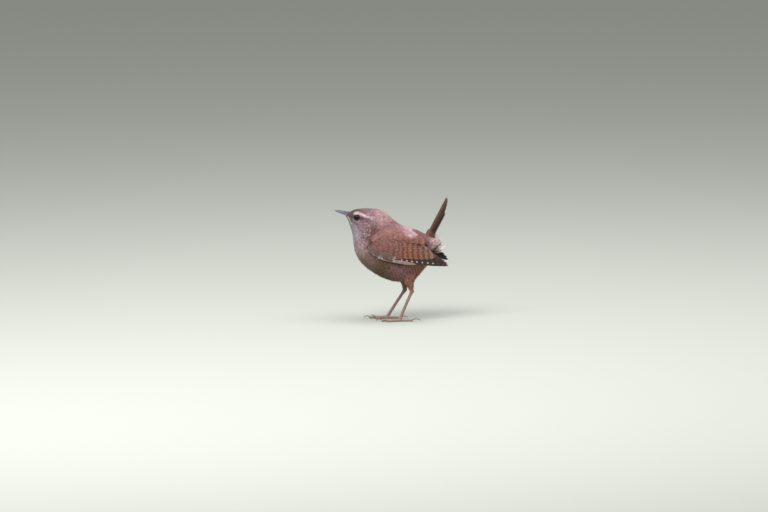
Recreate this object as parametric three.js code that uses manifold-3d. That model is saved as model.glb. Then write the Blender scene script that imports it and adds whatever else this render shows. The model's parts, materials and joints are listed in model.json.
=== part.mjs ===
// A wren at life size, standing still with its tail cocked, as a museum model.
// Millimetres. +Z is up, the bill points to -X and the bird's left side is on -Y.
// The origin is on the floor, in the middle of the model.
import * as THREE from "three";
import { mergeVertices } from "three/addons/utils/BufferGeometryUtils.js";
import Module from "manifold-3d";

const wasm = await Module();
wasm.setup();

const GAP = 0.3; // between pieces that touch
const VANE = 0.5; // thickness of a feather's vane
const LEFT = -1;
const RIGHT = 1;

// The body from the bill's root to the vent. Each station is a slice from the back's outline
// to the belly's, both as [x, z], and half is half its width under the wings.
const STATIONS = [
  { back: [-25.9, 62.6], belly: [-26.3, 59.9], half: 1.6 },
  { back: [-24.3, 63.5], belly: [-25.0, 57.3], half: 4.1 },
  { back: [-21.3, 64.6], belly: [-23.8, 53.6], half: 6.7 },
  { back: [-17.4, 65.2], belly: [-22.8, 50.2], half: 8.4 },
  { back: [-12.6, 65.2], belly: [-22.3, 46.7], half: 9.6 },
  { back: [-7.6, 64.6], belly: [-21.8, 42.8], half: 10.7 },
  { back: [-3.6, 62.4], belly: [-20.8, 38.6], half: 12.0 },
  { back: [0.0, 59.4], belly: [-17.9, 33.6], half: 12.9 },
  { back: [4.0, 56.4], belly: [-12.5, 28.9], half: 13.4 },
  { back: [8.6, 54.6], belly: [-5.6, 25.0], half: 13.3 },
  { back: [13.2, 52.7], belly: [2.4, 22.7], half: 12.4 },
  { back: [17.4, 50.9], belly: [10.9, 23.9], half: 10.4 },
  { back: [20.8, 49.6], belly: [17.0, 29.1], half: 8.4 },
  { back: [23.8, 48.4], belly: [21.5, 34.2], half: 6.2 },
  { back: [26.2, 46.7], belly: [24.8, 39.2], half: 3.8 },
  { back: [27.4, 44.8], belly: [26.9, 42.6], half: 1.2 },
];
const BODY_SIDES = 26;
const BODY_STEPS = 32;
const ROUNDNESS = 2.25; // the slices' superellipse power: 2 is an ellipse
const NECK_CUT = 5.15; // in stations from the bill
const SHOULDER_CUT = 7.0;
const RUMP_CUT = 11.7;

const BILL = {
  root: [-24.6, 61.6], tip: [-33.3, 64.0], upperDepth: 1.5, lowerDepth: 1.15, width: 2.9, arch: 0.2,
  taper: 0.8, end: 0.11,
};
const NOSTRIL = { along: 0.3, length: 1.1, width: 0.9, height: 0.42, out: 1.15, up: 0.95 };
const GAPE = { from: [-26.0, 61.5], to: [-23.3, 57.9], groove: 0.3 }; // the mouth's line in the face
const EYE = {
  x: -20.3, z: 60.4, ball: 1.75, sunk: 0.85, lidRadius: 1.95, lidThick: 0.34, ahead: 0.3, up: 0.12,
};

// The folded wing, seen from the side. Its outer face is wingHalf wide at x and rounds in above and below.
const WRIST = [-13.6, 41.3];
const WING_TIP = [33.1, 32.7];
const WING_LENGTH = Math.hypot(WING_TIP[0] - WRIST[0], WING_TIP[1] - WRIST[1]);
const WING_FACE = { first: -18, last: 36, halves: [11.4, 14.5, 15.55, 15.0, 12.0, 8.7, 6.3], round: 23 };
const WING_MIDLINE = { height: 41.4, fall: 0.19 };
// The arm and hand under the coverts, between the wing's lower edge and its upper one, from the wrist back.
// Their outer face lies under[0] deep, and dives to under[1] between two shares of the way back.
const WING_CORE = {
  below: [[-15.0, 43.6], [-13.2, 40.7], [-10.6, 38.5], [-7.2, 36.9], [-2.9, 36.0], [5.4, 34.4], [11.6, 33.7]],
  above: [[-14.4, 44.8], [-12.0, 48.2], [-8.6, 50.2], [-4.0, 51.3], [2.0, 51.0], [8.0, 49.0], [12.8, 44.6]],
  thick: 4.6, under: [0.45, 1.35], dive: [0.62, 0.86], ends: [0.35, 0.2],
};
// The flight feathers on the hand, the outermost first: how far each reaches from the wrist as a share of the
// wing's length. The outermost is short, narrow and lower. Those up to the longest lie along the wing's lower
// edge, and the others fan up from it, between these angles in radians.
const PRIMARIES = {
  shares: [0.605, 0.93, 0.985, 1, 0.98, 0.945, 0.905, 0.865, 0.825, 0.79],
  longest: 3, fan: [-0.185, -0.027], roots: [[-9, 37.9], [-4, 42]], width: 3.5, depths: [1.5, 1.05],
  outermost: { width: 2.0, steer: -0.262 },
};
// The wing's other rows of feathers, each from its lowest to its highest one.
const WING_ROWS = {
  secondaries: {
    count: 6, roots: [[-6, 41.5], [-3, 44.5]],
    tips: [[24.2, 39.7], [21.9, 42.4]], width: 4.4, depths: [1.0, 0.7],
  },
  tertials: {
    count: 3, roots: [[-2, 45.1], [-1, 48.3]],
    tips: [[20.6, 43.7], [16, 47.6]], width: 5.4, depths: [0.62, 0.2],
  },
};
const COVERT_ROWS = {
  primary: {
    count: 4, roots: [[-12.6, 40.5], [-11.8, 42]],
    tips: [[0.2, 36.0], [0.2, 38.4]], width: 1.9, depths: [0.75, 0.75],
  },
  greater: {
    count: 6, roots: [[-6.6, 40.4], [-1.2, 48.8]],
    tips: [[2, 38.8], [7.8, 47.6]], width: 2.7, depths: [0.15, 0.15],
  },
  middle: {
    count: 6, roots: [[-11, 41.6], [-5.6, 49.2]],
    tips: [[-4.2, 40.2], [1.4, 48.7]], width: 2.7, depths: [0, 0],
  },
  thumb: {
    count: 3, roots: [[-14.4, 42.6], [-13.8, 43.8]],
    tips: [[-6.8, 37.4], [-6.4, 39.8]], width: 1.9, depths: [0.45, 0.45],
  },
};
const FEATHER_TILT = 0.14; // how far each vane's upper edge lies over the next, to each side of its middle
const COVERT_SINK = 0.9; // how far a covert's root is set into the wing
const FAR_WING_LIFT = 1.6; // how much higher the right wing's tip lies than the left one's

const TAIL = {
  root: [17.6, 44.8], angle: 62.7, length: 30, gather: 0.6, width: 3.9, pairs: 6, spread: 0.85,
  step: 0.44, roll: 0.1, sunk: -2, out: [0.25, 0.16], shorter: 0.0108, loose: 0.7,
  stub: [5.2, 3.3, 2.7], stubAt: [2.2, 1.8],
};
const TAIL_COVERTS = { count: 5, length: 8.5, width: 3.0, fan: 2.4, above: -0.35, shorter: 0.25, wrap: 0.4 };
const ALTERNATE = 0.15; // every second feather of a row lies this much deeper
// The coverts under the tail, in tiers from the tail's own underside down to the vent. Each tier is at
// a depth below the tail, leans away from it by some degrees and reaches some way along it.
const UNDERTAIL = {
  tiers: [
    { depth: 5.0, lean: 3, reach: 9.6, across: 3.4, count: 3 },
    { depth: 6.0, lean: 8, reach: 8.4, across: 5.4, count: 4 },
    { depth: 7.1, lean: 14, reach: 6.8, across: 6.6, count: 5 },
    { depth: 8.2, lean: 20, reach: 4.9, across: 6.2, count: 4 },
  ],
  root: -3, width: 3.0, fan: 1.25, wrap: 0.07,
};

const LEGS = [
  { name: "left", side: LEFT, hip: [7.4, 31.0], heel: [11.6, 17.7], foot: [4.6, 1.15] },
  { name: "right", side: RIGHT, hip: [7.6, 31.0], heel: [7.5, 16.8], foot: [-2.6, 1.15] },
];
const SPREADS = { hip: 5.4, heel: 6.6, foot: 6.9 }; // how far each lies from the body's middle plane
const THIGH = { top: 6.2, bottom: 1.45, taper: 0.55, end: 0.8, bow: -0.2, narrow: 0.8 };
const TARSUS = { across: 0.72, deep: 0.92, knob: 1.3, ankle: 0.16, scutes: 8, scuteRise: 0.1 };
// Each toe leaves the foot at a turn in degrees from straight ahead, outwards from the body.
const TOES = [
  { turn: -24, length: 7.6, claw: 2.9 },
  { turn: 1, length: 10.6, claw: 3.3 },
  { turn: 25, length: 8.2, claw: 2.9 },
  { turn: 184, length: 7.4, claw: 4.7 },
];
const TOE = { root: 0.86, tip: 0.6, height: 0.66, pad: 0.13, pads: 3 };
const CLAW = { root: 0.44, tip: 0.1, arch: 0.75, flat: 0.8, point: 0.12 };
const SOLE = { radius: 1.15, stretch: [1.15, 1, 0.8], height: 0.75 };

const COLOURS = {
  crown: "#7b5c4e", mantle: "#85604e", rump: "#8f6652", wing: "#86583f", tail: "#6b4230",
  bill: "#5d5a5f", billBelow: "#a1917c", eye: "#14100e", leg: "#b48f85", foot: "#a8867b", thigh: "#7b5643",
};

// Mesh helpers

function solidOf(geometry) {
  const bare = geometry.index ? geometry.toNonIndexed() : geometry.clone();
  bare.deleteAttribute("normal");
  bare.deleteAttribute("uv");
  const merged = mergeVertices(bare, 1e-3);
  const triVerts = new Uint32Array(merged.index.array);
  const vertProperties = merged.attributes.position.array;
  if (signedVolume(vertProperties, triVerts) < 0) {
    for (let i = 0; i < triVerts.length; i += 3) {
      [triVerts[i + 1], triVerts[i + 2]] = [triVerts[i + 2], triVerts[i + 1]];
    }
  }
  return new wasm.Manifold(new wasm.Mesh({ numProp: 3, vertProperties, triVerts }));
}

function signedVolume(points, triangles) {
  const corner = (i) => new THREE.Vector3().fromArray(points, 3 * triangles[i]);
  let volume = 0;
  for (let i = 0; i < triangles.length; i += 3) {
    volume += corner(i).dot(corner(i + 1).cross(corner(i + 2)));
  }
  return volume / 6;
}

function largest(solid) {
  return solid.decompose().sort((a, b) => b.volume() - a.volume())[0];
}

function fuse(pieces) {
  return pieces.reduce((whole, piece) => whole.add(piece));
}

function meshOf(name, solid, colour, finish = {}) {
  const made = largest(solid).getMesh();
  const geometry = new THREE.BufferGeometry();
  geometry.setAttribute("position", new THREE.BufferAttribute(made.vertProperties, 3));
  geometry.setIndex(new THREE.BufferAttribute(made.triVerts, 1));
  geometry.computeVertexNormals();
  const look = { color: colour, roughness: 0.85, metalness: 0, ...finish };
  const material = new THREE.MeshStandardMaterial(look);
  const mesh = new THREE.Mesh(geometry, material);
  mesh.name = name;
  return mesh;
}

// A closed tube: ring(t, angle) places its skin for t from 0 to 1, and middle(t) the centre of each end.
function loft(ring, middle, sides, steps) {
  const geometry = new THREE.CylinderGeometry(1, 1, 1, sides, steps);
  const at = geometry.attributes.position;
  const point = new THREE.Vector3();
  for (let i = 0; i < at.count; i += 1) {
    point.fromBufferAttribute(at, i);
    const t = Math.round((0.5 - point.y) * steps) / steps;
    const side = Math.round((Math.atan2(point.x, point.z) / (2 * Math.PI)) * sides);
    const angle = (side * 2 * Math.PI) / sides;
    const placed = Math.hypot(point.x, point.z) < 0.5 ? middle(t) : ring(t, angle);
    at.setXYZ(i, placed.x, placed.y, placed.z);
  }
  return solidOf(geometry);
}

function rounded(value, power = ROUNDNESS) {
  return Math.sign(value) * Math.abs(value) ** (2 / power);
}

// A tube along a curve. size(t) gives its half-widths across and through, and lift(t, angle) adds to both.
function tube(curve, size, sides, steps, lift = () => 0) {
  const frameAt = (t) => {
    const along = curve.getTangent(t).normalize();
    const across = new THREE.Vector3(-along.y, along.x, 0);
    if (across.lengthSq() < 1e-6) across.set(0, 1, 0);
    across.normalize();
    return { centre: curve.getPoint(t), across, deep: new THREE.Vector3().crossVectors(along, across) };
  };
  const ring = (t, angle) => {
    const { centre, across, deep } = frameAt(t);
    const [wide, thick] = size(t);
    const more = lift(t, angle);
    return centre
      .addScaledVector(across, Math.sin(angle) * (wide + more))
      .addScaledVector(deep, Math.cos(angle) * (thick + more));
  };
  return loft(ring, (t) => frameAt(t).centre, sides, steps);
}

// A feather's vane, thin and closed. lay(u, v, depth) places it, with depth measured inwards.
// Both faces are split alike, so that they can't cross where the vane bends.
function vane(lay, feather) {
  const { root, tip, width, depth, sink = 0, tilt = 0, thick = VANE, shape = BLADE } = feather;
  const axis = new THREE.Vector2(tip[0] - root[0], tip[1] - root[1]);
  const side = new THREE.Vector2(-axis.y, axis.x).normalize();
  const points = [];
  const faces = [];
  shape.forEach(([t, share]) => {
    const u = root[0] + axis.x * t;
    const v = root[1] + axis.y * t;
    const half = (width / 2) * share;
    const outer = depth + sink * (1 - t);
    const thin = t > 0.99 ? thick * 0.5 : thick;
    [-1, 1].forEach((edge) => {
      const du = side.x * half * edge;
      const dv = side.y * half * edge;
      points.push(lay(u + du, v + dv, outer - tilt * edge));
      points.push(lay(u + du, v + dv, outer - tilt * edge + thin));
    });
  });
  for (let row = 0; row < shape.length - 1; row += 1) {
    const a = 4 * row;
    const b = a + 4;
    faces.push([a, a + 2, b + 2], [a, b + 2, b]); // outer face
    faces.push([a + 1, b + 3, a + 3], [a + 1, b + 1, b + 3]); // inner face, split alike
    faces.push([a, b, b + 1], [a, b + 1, a + 1]);
    faces.push([a + 2, b + 3, b + 2], [a + 2, a + 3, b + 3]);
  }
  const end = 4 * (shape.length - 1);
  faces.push([0, 1, 3], [0, 3, 2]);
  faces.push([end, end + 3, end + 1], [end, end + 2, end + 3]);
  const geometry = new THREE.BufferGeometry().setFromPoints(points);
  geometry.setIndex(faces.flat());
  return solidOf(geometry);
}
// How a vane's width changes from its root to its tip, as [place, share].
const BLADE = [[0, 0.7], [0.22, 0.86], [0.45, 1], [0.85, 0.94], [0.95, 0.66], [1, 0.22]];
const COVERT = [[0, 0.7], [0.55, 1], [0.86, 0.78], [1, 0.26]];

const mix = (a, b, t) => a + (b - a) * t;
const mixPair = (a, b, t) => [mix(a[0], b[0], t), mix(a[1], b[1], t)];

// Body

const curveOf = (points) => new THREE.CatmullRomCurve3(points, false, "catmullrom", 0.5);
const backLine = curveOf(STATIONS.map(({ back, half }) => new THREE.Vector3(back[0], half, back[1])));
const bellyLine = curveOf(STATIONS.map(({ belly }) => new THREE.Vector3(belly[0], 0, belly[1])));

function slice(t) {
  const top = backLine.getPoint(t);
  const bottom = bellyLine.getPoint(t);
  const half = top.y;
  top.y = 0;
  const centre = top.clone().add(bottom).multiplyScalar(0.5);
  const rise = top.clone().sub(centre);
  return { centre, rise, height: rise.length(), half };
}

function bodyPoint(t, angle, grow) {
  const { centre, rise, height, half } = slice(t);
  const up = rise.multiplyScalar((height + grow) / height);
  const point = centre.clone().addScaledVector(up, rounded(Math.cos(angle)));
  point.y = (half + grow) * rounded(Math.sin(angle));
  return point;
}

// The whole body, grown outwards all over. Its ends move out by the same amount.
function bodySolid(grow) {
  const outwards = (t) => {
    const shift = new THREE.Vector3();
    if (t === 0) shift.subVectors(slice(0).centre, slice(0.01).centre).setLength(grow);
    if (t === 1) shift.subVectors(slice(1).centre, slice(0.99).centre).setLength(grow);
    return grow ? shift : shift.set(0, 0, 0);
  };
  const ring = (t, angle) => bodyPoint(t, angle, grow).add(outwards(t));
  return loft(ring, (t) => slice(t).centre.add(outwards(t)), BODY_SIDES, BODY_STEPS);
}

// Half the body's width where a line across the bird meets it at (x, z).
function bodyHalf(x, z) {
  const beyond = (t) => {
    const { centre, rise } = slice(t);
    return (x - centre.x) * rise.z - (z - centre.z) * rise.x;
  };
  let low = 0;
  let high = 1;
  for (let i = 0; i < 40; i += 1) {
    const middle = (low + high) / 2;
    if (beyond(middle) > 0) low = middle;
    else high = middle;
  }
  const { centre, rise, height, half } = slice(low);
  const share = ((x - centre.x) * rise.x + (z - centre.z) * rise.z) / (height * height);
  return half * Math.max(0, 1 - Math.abs(share) ** ROUNDNESS) ** (1 / ROUNDNESS);
}

// A slab GAP thick across the whole body at a station, for parting it.
function cutAt(station) {
  const { centre, rise } = slice(station / (STATIONS.length - 1));
  const geometry = new THREE.BoxGeometry(GAP, 60, 80);
  geometry.rotateY(Math.atan2(rise.x, rise.z));
  geometry.translate(centre.x, 0, centre.z);
  return solidOf(geometry);
}

// Wing

const wingHalves = new THREE.SplineCurve(
  WING_FACE.halves.map((half, i) => new THREE.Vector2(i, half)),
);

function wingHalf(x, z) {
  const t = (x - WING_FACE.first) / (WING_FACE.last - WING_FACE.first);
  const middle = WING_MIDLINE.height - WING_MIDLINE.fall * x;
  const off = (z - middle) / WING_FACE.round;
  return wingHalves.getPoint(THREE.MathUtils.clamp(t, 0, 1)).y * Math.sqrt(Math.max(0, 1 - off * off));
}

// Places (x, z) on one wing's outer face, depth further in, along the face's own normal.
function wingLay(side) {
  return (x, z, depth) => {
    const step = 0.2;
    const slopeX = (wingHalf(x + step, z) - wingHalf(x - step, z)) / (2 * step);
    const slopeZ = (wingHalf(x, z + step) - wingHalf(x, z - step)) / (2 * step);
    const out = new THREE.Vector3(-slopeX, 1, -slopeZ).normalize();
    const at = new THREE.Vector3(x, wingHalf(x, z), z).addScaledVector(out, -depth);
    const lift = side === RIGHT ? FAR_WING_LIFT * THREE.MathUtils.smoothstep(x, 0, WING_TIP[0]) : 0;
    return new THREE.Vector3(at.x, side * at.y, at.z + lift);
  };
}

const planCurve = (points) => new THREE.SplineCurve(points.map(([x, z]) => new THREE.Vector2(x, z)));
const coreBelow = planCurve(WING_CORE.below);
const coreAbove = planCurve(WING_CORE.above);

function wingCore(lay) {
  const { thick, under, dive, ends } = WING_CORE;
  const face = (t) => mix(...under, THREE.MathUtils.smoothstep(t, ...dive));
  const middle = (t) => coreBelow.getPoint(t).lerp(coreAbove.getPoint(t), 0.5);
  const ring = (t, angle) => {
    const rise = coreAbove.getPoint(t).sub(coreBelow.getPoint(t)).multiplyScalar(0.5);
    const at = middle(t).addScaledVector(rise, rounded(Math.cos(angle)));
    const fullness = rounded(Math.sin(Math.PI * mix(ends[0] / 2, 1 - ends[1] / 2, t)));
    return lay(at.x, at.y, face(t) + (thick / 2) * (1 - fullness * rounded(Math.sin(angle))));
  };
  return loft(ring, (t) => lay(...middle(t).toArray(), face(t) + thick / 2), 14, 12);
}

function primaries() {
  const { shares, longest, fan, roots, width, depths, outermost } = PRIMARIES;
  return shares.map((share, i) => {
    const t = i / (shares.length - 1);
    const narrow = i === 0;
    const rise = Math.max(0, (i - longest) / (shares.length - 1 - longest));
    const steer = narrow ? outermost.steer : mix(...fan, rise);
    const reach = WING_LENGTH * share;
    const tip = [WRIST[0] + Math.cos(steer) * reach, WRIST[1] + Math.sin(steer) * reach];
    return {
      root: mixPair(...roots, t), tip, width: narrow ? outermost.width : width, depth: mix(...depths, t),
      tilt: FEATHER_TILT,
    };
  });
}

function wingRow({ count, roots, tips, width, depths }, more = {}) {
  return Array.from({ length: count }, (_, i) => {
    const t = i / (count - 1);
    return {
      root: mixPair(...roots, t), tip: mixPair(...tips, t), width, depth: mix(...depths, t),
      tilt: FEATHER_TILT, ...more,
    };
  });
}

function wing(side, body) {
  const lay = wingLay(side);
  const flight = Object.values(WING_ROWS).flatMap((row) => wingRow(row));
  const covert = { sink: COVERT_SINK, shape: COVERT };
  const coverts = Object.values(COVERT_ROWS).flatMap((row) => wingRow(row, covert));
  const pieces = [...primaries(), ...flight, ...coverts].map((feather) => vane(lay, feather));
  return fuse([wingCore(lay), ...pieces]).subtract(body);
}

// Tail

// u runs out along the tail, v across it, and depth from its upper face to its lower one.
function tailLay(u, v, depth) {
  const angle = THREE.MathUtils.degToRad(TAIL.angle);
  const x = TAIL.root[0] + Math.cos(angle) * u + Math.sin(angle) * depth;
  const z = TAIL.root[1] + Math.sin(angle) * u - Math.cos(angle) * depth;
  return new THREE.Vector3(x, v, z);
}

function tail(body) {
  const pieces = [];
  for (let pair = TAIL.pairs - 1; pair >= 0; pair -= 1) {
    [LEFT, RIGHT].forEach((side) => {
      const turn = THREE.MathUtils.degToRad(TAIL.spread) * pair;
      const length = TAIL.length * (1 - TAIL.shorter * pair * pair);
      const out = TAIL.out[0] + TAIL.out[1] * pair;
      const lay = (u, v, depth) => {
        const sag = TAIL.roll * Math.abs(v); // the tail is a shallow roof
        return tailLay(u, v, depth + sag);
      };
      const apart = pair === TAIL.pairs - 1 ? TAIL.loose : 0;
      pieces.push(vane(lay, {
        root: [TAIL.sunk, side * out * TAIL.gather],
        tip: [length * Math.cos(turn), side * (out + length * Math.sin(turn))],
        width: TAIL.width, depth: TAIL.step * pair + (side === LEFT ? 0 : ALTERNATE) + apart,
      }));
    });
  }
  for (let i = 0; i < TAIL_COVERTS.count; i += 1) {
    const across = mix(-1, 1, i / (TAIL_COVERTS.count - 1));
    const lay = (u, v, depth) => tailLay(u, v, depth + TAIL_COVERTS.wrap * Math.abs(v));
    pieces.push(vane(lay, {
      root: [TAIL.sunk, across * TAIL_COVERTS.fan * TAIL.gather],
      tip: [TAIL_COVERTS.length * (1 - TAIL_COVERTS.shorter * Math.abs(across)), across * TAIL_COVERTS.fan],
      width: TAIL_COVERTS.width, depth: TAIL_COVERTS.above + ALTERNATE * (i % 2), shape: COVERT,
    }));
  }
  return fuse([tailStub(0), ...pieces]).subtract(body);
}

// The fleshy end of the tail that its feathers grow from.
function tailStub(grow) {
  const geometry = new THREE.SphereGeometry(1, 14, 8);
  geometry.scale(...TAIL.stub.map((half) => half + grow));
  geometry.rotateY(-THREE.MathUtils.degToRad(TAIL.angle));
  geometry.translate(...tailLay(TAIL.stubAt[0], 0, TAIL.stubAt[1]).toArray());
  return solidOf(geometry);
}

// The room that the tail takes above its root, with a gap all round.
function tailRoom() {
  const half = TAIL.width + GAP;
  const thick = TAIL.step * TAIL.pairs + TAIL.loose + VANE + TAIL.roll * half + 3 * GAP;
  const geometry = new THREE.BoxGeometry(TAIL.length, 2 * half, thick);
  geometry.rotateY(-THREE.MathUtils.degToRad(TAIL.angle));
  geometry.translate(...tailLay(TAIL.length / 2 - 2, 0, thick / 2 - 3 * GAP).toArray());
  return solidOf(geometry).add(tailStub(GAP));
}

function undertail() {
  return UNDERTAIL.tiers.flatMap(({ depth: below, lean, reach, across, count }) => {
    const angle = THREE.MathUtils.degToRad(lean);
    const lay = (u, v, depth) => {
      const sag = below + depth + UNDERTAIL.wrap * v * v;
      const out = u * Math.cos(angle) - sag * Math.sin(angle);
      return tailLay(out, v, sag * Math.cos(angle) + u * Math.sin(angle));
    };
    return Array.from({ length: count }, (_, i) => {
      const share = i / (count - 1) - 0.5;
      return vane(lay, {
        root: [UNDERTAIL.root, share * across],
        tip: [reach - 3 * share * share, share * across * UNDERTAIL.fan],
        width: UNDERTAIL.width, depth: ALTERNATE * (i % 2), shape: COVERT,
      });
    });
  });
}

// Head

function eyeCentre(side) {
  return new THREE.Vector3(EYE.x, side * (bodyHalf(EYE.x, EYE.z) - EYE.sunk), EYE.z);
}

function eyeBall(side, grow) {
  const geometry = new THREE.SphereGeometry(EYE.ball + grow, 12, 8);
  geometry.translate(...eyeCentre(side).toArray());
  return solidOf(geometry);
}

function lidRing(side) {
  const geometry = new THREE.TorusGeometry(EYE.lidRadius, EYE.lidThick, 5, 14);
  const out = new THREE.Vector3(-EYE.ahead, side, EYE.up).normalize();
  geometry.applyQuaternion(new THREE.Quaternion().setFromUnitVectors(new THREE.Vector3(0, 0, 1), out));
  geometry.translate(...eyeCentre(side).addScaledVector(out, EYE.sunk).toArray());
  return solidOf(geometry);
}

// Cuts the mouth's line into the face, from the bill back and down on both sides.
function gapes() {
  return [LEFT, RIGHT].map((side) => {
    const points = [0, 0.33, 0.67, 1].map((t) => {
      const [x, z] = mixPair(GAPE.from, GAPE.to, t);
      return new THREE.Vector3(x, side * bodyHalf(x, z), z);
    });
    return tube(new THREE.CatmullRomCurve3(points), () => [GAPE.groove, GAPE.groove], 6, 6);
  });
}

function billSolid(above, grow) {
  const root = new THREE.Vector3(BILL.root[0], 0, BILL.root[1]);
  const tip = new THREE.Vector3(BILL.tip[0], 0, BILL.tip[1]);
  const along = tip.clone().sub(root);
  const up = new THREE.Vector3(along.z, 0, -along.x).normalize();
  const depth = above ? BILL.upperDepth : -BILL.lowerDepth;
  const arch = (t) => BILL.arch * 2 * t * (1 - t);
  const middle = (t) => root.clone().addScaledVector(along, t).addScaledVector(up, arch(t));
  const taper = (t) => Math.max(BILL.end, (1 - t) ** BILL.taper);
  const ring = (t, angle) => {
    const over = Math.max(0, Math.cos(angle)) * (Math.abs(depth) * taper(t) + grow);
    const level = (above ? GAP / 4 : -GAP / 4) - Math.sign(depth) * grow;
    const point = middle(t).addScaledVector(up, level + Math.sign(depth) * over);
    point.y = Math.sin(angle) * ((BILL.width / 2) * taper(t) + grow);
    return point;
  };
  return loft(ring, middle, 12, 9);
}

function nostrils() {
  return [LEFT, RIGHT].map((side) => {
    const geometry = new THREE.SphereGeometry(0.5, 8, 6);
    geometry.scale(NOSTRIL.length, NOSTRIL.width, NOSTRIL.height);
    const [x, z] = mixPair(BILL.root, BILL.tip, NOSTRIL.along);
    geometry.translate(x, side * NOSTRIL.out, z + NOSTRIL.up);
    return solidOf(geometry);
  });
}

// Legs

const place = (pair, side, spread) => new THREE.Vector3(pair[0], side * spread, pair[1]);

function thigh(leg) {
  const hip = place(leg.hip, leg.side, SPREADS.hip);
  const heel = place(leg.heel, leg.side, SPREADS.heel);
  const bend = hip.clone().lerp(heel, 0.5).add(new THREE.Vector3(THIGH.bow, 0, 0));
  const size = (t) => {
    const end = t > 0.97 ? THIGH.end : 1;
    const radius = mix(THIGH.top, THIGH.bottom, t ** THIGH.taper) * end;
    return [radius * THIGH.narrow, radius];
  };
  return tube(new THREE.QuadraticBezierCurve3(hip, bend, heel), size, 14, 10);
}

function tarsus(leg, grow) {
  const heel = place(leg.heel, leg.side, SPREADS.heel);
  const foot = place(leg.foot, leg.side, SPREADS.foot);
  const size = (t) => {
    const knob = (TARSUS.knob - TARSUS.deep) * Math.exp(-((t / 0.07) ** 2));
    const ankle = TARSUS.ankle * Math.exp(-(((1 - t) / 0.08) ** 2));
    return [TARSUS.across + knob + ankle + grow, TARSUS.deep + knob + ankle + grow];
  };
  // The scutes are a saw-tooth along the front of the leg.
  const lift = (t, angle) => {
    const tooth = (t * TARSUS.scutes) % 1 < 0.5 ? TARSUS.scuteRise : 0;
    return t > 0.1 && t < 0.95 && Math.cos(angle) < -0.2 ? tooth : 0;
  };
  const start = heel.clone().lerp(foot, -0.05);
  return tube(new THREE.LineCurve3(start, foot), size, 10, 2 * TARSUS.scutes, grow ? undefined : lift);
}

function toe(hub, leg, digit) {
  const turn = THREE.MathUtils.degToRad(digit.turn);
  const out = new THREE.Vector3(-Math.cos(turn), leg.side * Math.sin(turn), 0);
  const at = (distance, height) => hub.clone().setZ(height).addScaledVector(out, distance);
  const path = new THREE.CatmullRomCurve3([
    at(0, 1.0), at(digit.length * 0.3, TOE.height + 0.06),
    at(digit.length * 0.7, TOE.height), at(digit.length, TOE.height),
  ]);
  const size = (t) => {
    const pad = TOE.pad * Math.cos(2 * Math.PI * TOE.pads * t) ** 2;
    const radius = (mix(TOE.root, TOE.tip, t) + pad) * (t > 0.99 ? 0.7 : 1);
    return [radius, radius];
  };
  const nail = new THREE.CubicBezierCurve3(
    at(digit.length - 0.9, TOE.height + 0.1), at(digit.length + digit.claw * 0.35, TOE.height + CLAW.arch),
    at(digit.length + digit.claw * 0.8, TOE.height + CLAW.arch * 0.6),
    at(digit.length + digit.claw, CLAW.point),
  );
  const point = (t) => [mix(CLAW.root, CLAW.tip, t) * CLAW.flat, mix(CLAW.root, CLAW.tip, t)];
  return [tube(path, size, 7, 7), tube(nail, point, 5, 4)];
}

function foot(leg) {
  const hub = place(leg.foot, leg.side, SPREADS.foot);
  const ball = new THREE.SphereGeometry(SOLE.radius, 10, 8);
  ball.scale(...SOLE.stretch);
  ball.translate(hub.x, hub.y, SOLE.height);
  const floor = new THREE.BoxGeometry(60, 60, 10);
  floor.translate(hub.x, hub.y, -5);
  const toes = TOES.flatMap((digit) => toe(hub, leg, digit));
  return fuse([solidOf(ball), ...toes]).subtract(solidOf(floor)).subtract(tarsus(leg, GAP));
}

// Assembly

const whole = bodySolid(0);
const clearOfBody = bodySolid(GAP);
const parted = whole
  .subtract(fuse([cutAt(NECK_CUT), cutAt(SHOULDER_CUT), cutAt(RUMP_CUT)]))
  .decompose()
  .sort((a, b) => a.boundingBox().min[0] - b.boundingBox().min[0]);
const [headBlock, neckBlock, torsoBlock, rumpBlock] = parted;

const sides = [{ name: "left", side: LEFT }, { name: "right", side: RIGHT }];
const head = fuse([headBlock, lidRing(LEFT), lidRing(RIGHT)])
  .subtract(eyeBall(LEFT, GAP))
  .subtract(eyeBall(RIGHT, GAP))
  .subtract(fuse(gapes()));
const upperBill = billSolid(true, 0).subtract(clearOfBody).subtract(fuse(nostrils()));
const lowerBill = billSolid(false, 0).subtract(clearOfBody);

const tailSolid = tail(clearOfBody);
const tailUnderside = fuse(undertail()).subtract(tailRoom()).subtract(cutAt(RUMP_CUT));
const rump = rumpBlock.add(tailUnderside);

const wren = new THREE.Group();
wren.add(
  meshOf("head", head, COLOURS.crown),
  meshOf("bill_upper", upperBill, COLOURS.bill, { roughness: 0.45 }),
  meshOf("bill_lower", lowerBill, COLOURS.billBelow, { roughness: 0.45 }),
  meshOf("neck", neckBlock, COLOURS.mantle),
  meshOf("torso", torsoBlock, COLOURS.mantle),
  meshOf("rump", rump, COLOURS.rump),
  meshOf("tail", tailSolid, COLOURS.tail),
);
sides.forEach(({ name, side }) => {
  wren.add(meshOf(`eye_${name}`, eyeBall(side, 0), COLOURS.eye, { roughness: 0.05 }));
  wren.add(meshOf(`wing_${name}`, wing(side, clearOfBody), COLOURS.wing));
});
LEGS.forEach((leg) => {
  const shank = thigh(leg).subtract(clearOfBody).subtract(tarsus(leg, GAP));
  wren.add(meshOf(`thigh_${leg.name}`, shank, COLOURS.thigh));
  wren.add(meshOf(`tarsus_${leg.name}`, tarsus(leg, 0), COLOURS.leg, { roughness: 0.5 }));
  wren.add(meshOf(`foot_${leg.name}`, foot(leg), COLOURS.foot, { roughness: 0.5 }));
});

export default wren;
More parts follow.
